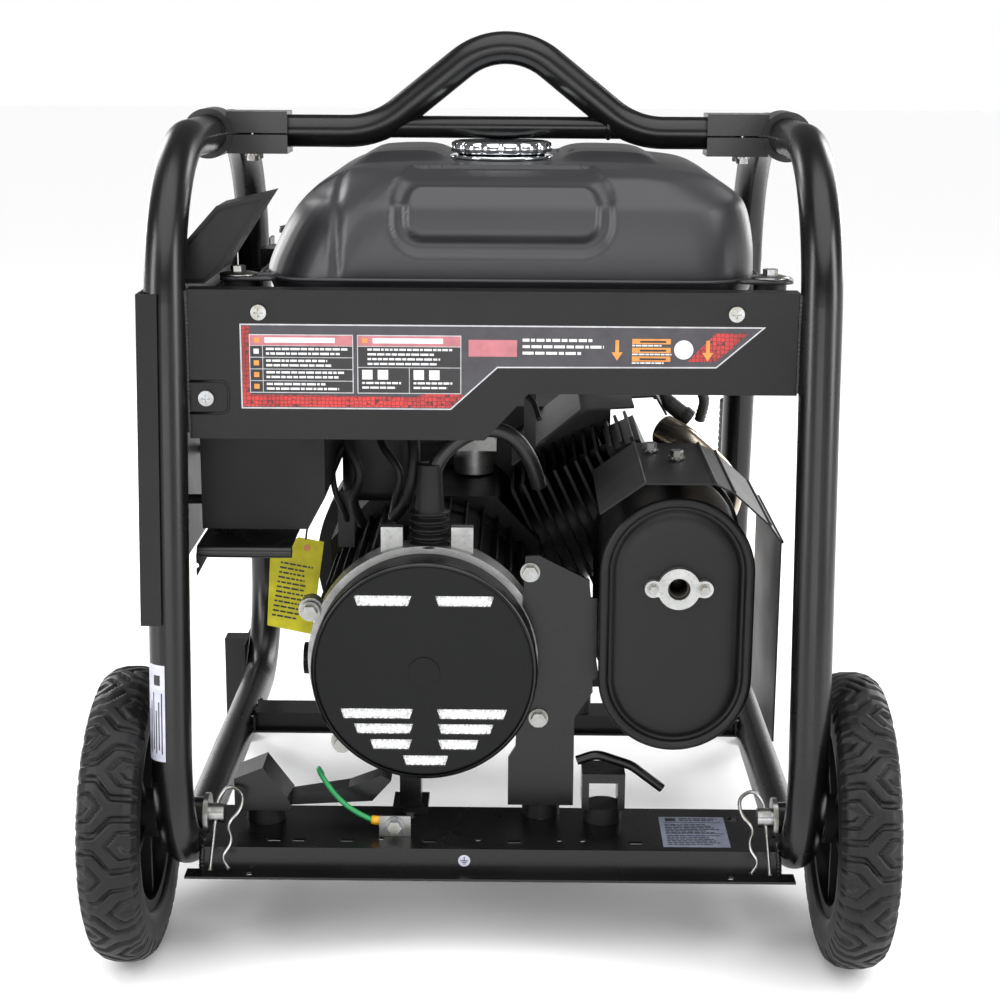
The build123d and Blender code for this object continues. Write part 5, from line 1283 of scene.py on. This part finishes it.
class OBJECT_OT_generator_trim(bpy.types.Operator):
    """Add the exhaust elbow, washers, pressed pocket, idle control box, hoses and brackets"""

    bl_idname = "object.generator_trim"
    bl_label = "Trim"

    def execute(self, context):
        black, zinc = get(moulded_plastic), get(zinc_plate)
        elbow = smooth_route([(150, -34, 438), (166, -50, 431), (184, -58, 417),
                              (198, -62, 402), (203, -66, 386),
                              (196, -74, 370), (186, -84, 356)])
        pipe = make_piece("exhaust_elbow", *drawn_tube(elbow, 14.5, 40), get(pipe_steel))
        washers = []
        for x in (-202, 218):
            for y in (-194, 194):
                ring = [(593.5, 5.5), (593.5, 14.5), (594.4, 15.2), (595.2, 14.6), (596.6, 9), (596.6, 5.5)]
                washers.append(turned(ring, (x, y, 0), "z", 48, False))
        points, faces = merged(washers)
        washer = put_right(make_piece("tank_washers", drawn(points), faces, zinc))
        pocket = rounded([(-235, -250.2, 518), (-204, -250.2, 518), (-204, -250.2, 493), (-235, -250.2, 493)],
                         [6, 6], 1.0)
        bead = make_piece("screw_pocket", *drawn_tube(pocket, 1.1, 12), get(sheet_coat))
        # Idle control box: a superellipse in plan, its sides drawn in towards the top and bottom.
        turn = np.linspace(0, 2 * math.pi, 120, endpoint=False)
        power = 0.32
        rows = [(390, 0.2), (390.5, 0.9), (393, 0.97), (400, 1.0),
                (468, 1.0), (476, 0.96), (479, 0.9), (479.5, 0.2)]
        shell = []
        for height, grow in rows:
            x = -100 + 31 * grow * np.sign(np.cos(turn)) * np.abs(np.cos(turn)) ** power
            y = -64 + 52 * grow * np.sign(np.sin(turn)) * np.abs(np.sin(turn)) ** power
            shell.append(np.stack([x, y, np.full(120, height)], -1))
        faces = [tuple(f) for f in grid_faces(len(rows), 120, False, True)]
        faces += [tuple(range(120))[::-1], tuple(range(7 * 120, 8 * 120))]
        box = put_right(make_piece("idle_control_box", drawn(np.concatenate(shell)), faces, black))
        hoses = [
            ([(-118, -118, 470), (-124, -140, 452), (-112, -150, 424),
              (-118, -140, 398), (-112, -120, 372)], 4.2),
            ([(-100, -118, 462), (-92, -146, 446), (-78, -158, 426),
              (-82, -150, 400), (-86, -130, 380)], 3.4),
            ([(-84, -118, 474), (-74, -142, 468), (-66, -160, 452), (-66, -168, 430), (-72, -160, 404),
              (-84, -140, 384)], 5.0),
            ([(-128, -110, 440), (-136, -124, 424), (-134, -132, 404),
              (-126, -124, 380), (-124, -100, 360)], 2.6),
            ([(38, -150, 470), (30, -140, 486), (6, -130, 492), (-20, -126, 486), (-44, -120, 470)], 2.2),
            ([(60, -60, 478), (40, -80, 488), (10, -96, 486), (-14, -100, 476), (-44, -100, 462)], 1.6),
        ]
        for number, (route, radius) in enumerate(hoses):
            hose_tube = drawn_tube(smooth_route(route), radius, 18)
            hose = make_piece("hose_%d" % (number + 1), *hose_tube, get(soft_rubber))
        # A black plate with its edge turned in closes the near end of the short hood: a sheet of painted shade
        # where the hood's open inside lies in shade.
        plate = [(-266.5, 589.3), (-214.6, 647.6), (-174.5, 657.8), (-212.4, 601.2), (-226.4, 589.6)]
        inner = shrunk(plate, 2.5)
        rings = [[(x, y, z) for x, z in outline] for outline, y in
                 ((plate, -206), (plate, -214.6), (inner, -214.9), (inner, -212.6))]
        count = len(plate)
        faces = [tuple(f) for f in grid_faces(4, count, False, True)]
        faces += [tuple(range(count))[::-1], tuple(range(3 * count, 4 * count))]
        shade_plate = make_piece("hood_end_shade_plate", drawn(np.array(rings)), faces, get(sheet_coat), smooth=False)
        put_right(shade_plate)
        # Three folded flat straps; the two nearest the idle control box carry it.
        straps = []
        strap_sizes = ((-126, -122, 352, 402, 7), (-74, -122, 350, 402, 6), (30, -128, 440, 496, 5))
        for x, y, low, high, wide in strap_sizes:
            outline = [(x - wide, low), (x + wide, low), (x + wide, high - 6),
                       (x + wide - 5, high), (x - wide + 5, high),
                       (x - wide, high - 6)]
            ring = np.array([(a, y, b) for a, b in outline])
            block = np.concatenate([ring, ring + [0, 2.2, 0]])
            count = len(outline)
            sides = [(i, (i + 1) % count, count + (i + 1) % count, count + i) for i in range(count)]
            straps.append((block, sides + [tuple(range(count))[::-1], tuple(range(count, 2 * count))]))
        points, faces = merged(straps)
        strap = put_right(make_piece("control_straps", drawn(points), faces, get(sheet_coat), smooth=False))
        return {"FINISHED"}


def thin_frame(left, low, right, high, wide, layer, material):
    """Four thin bars round an area."""
    return [
        (rectangle(left, low, right, low + wide), layer, material),
        (rectangle(left, high - wide, right, high), layer, material),
        (rectangle(left, low + wide, left + wide, high - wide), layer, material),
        (rectangle(right - wide, low + wide, right, high - wide), layer, material),
    ]


class OBJECT_OT_generator_panel(bpy.types.Operator):
    """Print the control panel's frames and dial, and mould the ridges of its covers"""

    bl_idname = "object.generator_panel"
    bl_label = "Control panel"

    def execute(self, context):
        film = context.scene.generator_prints.film / MM
        tones = label_tones()
        # Seen from its own side, the panel's right is -Y: u is -Y and v is Z.
        items = [([(-224, 578), (240, 578), (226, 560), (-230, 560)], 0, tones["edge"])]
        items.append(([(-222, 577), (238, 577), (224.8, 561), (-228, 561)], 1, get(honeycomb_print)))
        items += bars(-196, -60, 573, 1, 4, 7, 71, tones["ink"], 2)
        for left, low, right, high, seed in (
            (24, 354, 204, 452, 81), (-98, 354, -22, 452, 82), (-176, 376, -124, 452, 83),
            (66, 452.8, 174, 500, 84), (-176, 500, -84, 556, 85), (-72, 500, -8, 556, 86), (38, 514, 82, 556, 87),
        ):
            items += thin_frame(left, low, right, high, 0.8, 0, tones["edge"])
            items += bars(left + 8, right - 6, high - 3, 1, 3, 2.6, seed, tones["ink"], 0)
        for u, v in ((155, 470), (85, 470), (-150, 400)):
            items += bars(u - 16, u + 18, v - 14, 1, 3, 2.2, int(u + 500), tones["ink"], 0)
        for u in (-150, -105):
            items.append((rectangle(u - 1, 507, u + 1, 512), 0, tones["ink"]))
            items.append((disc(u, 549.5, 2.4, 2.4, 16), 0, tones["ink"]))
            items.append((disc(u, 549.5, 1.6, 1.6, 16), 1, tones["dark"]))
        prints = print_piece("control_panel_prints", (-270.05, 0, 0), (0, -1, 0), (0, 0, 1), items, film)
        # Dial of the meter: a ring of ticks with a needle.
        ticks = [(disc(0, 0, 20.5, 20.5, 48), 0, tones["white"])]
        for angle in np.radians(np.linspace(-40, 220, 14)):
            a, b = np.array([math.cos(angle), math.sin(angle)]), np.array([-math.sin(angle), math.cos(angle)])
            ticks.append(([tuple(a * 14.5 + b * 0.4), tuple(a * 19 + b * 0.4), tuple(a * 19 - b * 0.4),
                           tuple(a * 14.5 - b * 0.4)], 1, tones["dark"]))
        ticks.append(([(-1.2, -3), (1.2, -3), (10.4, 11.4), (9.6, 12)], 2, tones["orange"]))
        ticks.append((disc(0, 0, 3.2, 3.2, 20), 3, tones["dark"]))
        print_piece("meter_dial", (-275.1, 40, 530), (0, -1, 0), (0, 0, 1), ticks, film)
        for number, (y, z, wide) in enumerate(((-155, 400, 34), (-70, 400, 34), (60, 400, 24))):
            ridges = []
            for step in range(5):
                reach = wide - 6
                level = z + 12 - 7 * step
                path = np.array([(-282, y - reach, level), (-282, y - reach + 1.5, level),
                                 (-282, y + reach - 1.5, level),
                                 (-282, y + reach, level)])
                ridges.append(tube(path, [0.3, 1.2, 1.2, 0.3], 12))
            points, faces = merged(ridges)
            ridge = make_piece("cover_ridges_%d" % (number + 1), drawn(points), faces, get(moulded_plastic),
                               "cover_%d" % (number + 1))
        return {"FINISHED"}


class OBJECT_OT_generator_starter(bpy.types.Operator):
    """Press the ribs of the starter cover and of the air cleaner's lid"""

    bl_idname = "object.generator_starter"
    bl_label = "Starter and air cleaner"

    def execute(self, context):
        ribs = []
        turn = np.linspace(0, 2 * math.pi, 120, endpoint=False)
        for radius, y, thick in ((34, 232, 1.6), (70, 232, 1.6), (83, 231.4, 1.8), (109, 203.4, 1.8)):
            path = np.stack([-55 + radius * np.cos(turn), np.full(120, y), 274 + radius * np.sin(turn)], -1)
            ribs.append(tube(path, thick, 10, closed=True))
        for angle in np.radians(np.arange(18, 378, 36)):
            a = np.array([math.cos(angle), 0, math.sin(angle)])
            path = np.array([np.array([-55, 232, 274]) + a * reach for reach in (36, 38, 66, 68)])
            ribs.append(tube(path, [0.4, 1.5, 1.5, 0.4], 10))
        points, faces = merged(ribs)
        cover = make_piece("starter_cover_ribs", drawn(points), faces, get(sheet_coat))
        lines = []
        for y in np.arange(74, 200, 13):
            path = np.array([(-222, y, 523), (-218, y, 523.2), (-122, y, 523.2), (-118, y, 523)])
            if abs(y - 132) > 12:
                lines.append(tube(path, [0.4, 1.4, 1.4, 0.4], 10))
        points, faces = merged(lines)
        lid = make_piece("air_cleaner_ribs", drawn(points), faces, get(moulded_plastic))
        return {"FINISHED"}


STEPS = [
    OBJECT_OT_generator_stage,
    OBJECT_OT_generator_finishes,
    OBJECT_OT_generator_tank,
    OBJECT_OT_generator_cap,
    OBJECT_OT_generator_tyres,
    OBJECT_OT_generator_labels,
    OBJECT_OT_generator_cables,
    OBJECT_OT_generator_muffler,
    OBJECT_OT_generator_alternator,
    OBJECT_OT_generator_grips,
    OBJECT_OT_generator_welds,
    OBJECT_OT_generator_trim,
    OBJECT_OT_generator_panel,
    OBJECT_OT_generator_starter,
]


class VIEW3D_PT_generator(bpy.types.Panel):
    """Every step of the generator in the sidebar"""

    bl_label = "Generator"
    bl_idname = "VIEW3D_PT_generator"
    bl_space_type = "VIEW_3D"
    bl_region_type = "UI"
    bl_category = "Generator"

    def draw(self, context):
        for step in STEPS:
            self.layout.operator(step.bl_idname)


GROUPS = {
    "generator_stage": GeneratorStage,
    "generator_tank": GeneratorTank,
    "generator_tyre": GeneratorTyre,
    "generator_prints": GeneratorPrints,
    "generator_cables": GeneratorCables,
    "generator_muffler": GeneratorMuffler,
}


def register():
    for name, group in GROUPS.items():
        bpy.utils.register_class(group)
        setattr(bpy.types.Scene, name, PointerProperty(type=group))
    for step in STEPS:
        bpy.utils.register_class(step)
    bpy.utils.register_class(VIEW3D_PT_generator)


def unregister():
    bpy.utils.unregister_class(VIEW3D_PT_generator)
    for step in reversed(STEPS):
        bpy.utils.unregister_class(step)
    for name, group in GROUPS.items():
        delattr(bpy.types.Scene, name)
        bpy.utils.unregister_class(group)


def main():
    """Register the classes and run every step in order."""
    register()
    for step in STEPS:
        area, name = step.bl_idname.split(".")
        getattr(getattr(bpy.ops, area), name)()


if __name__ == "__main__":
    main()
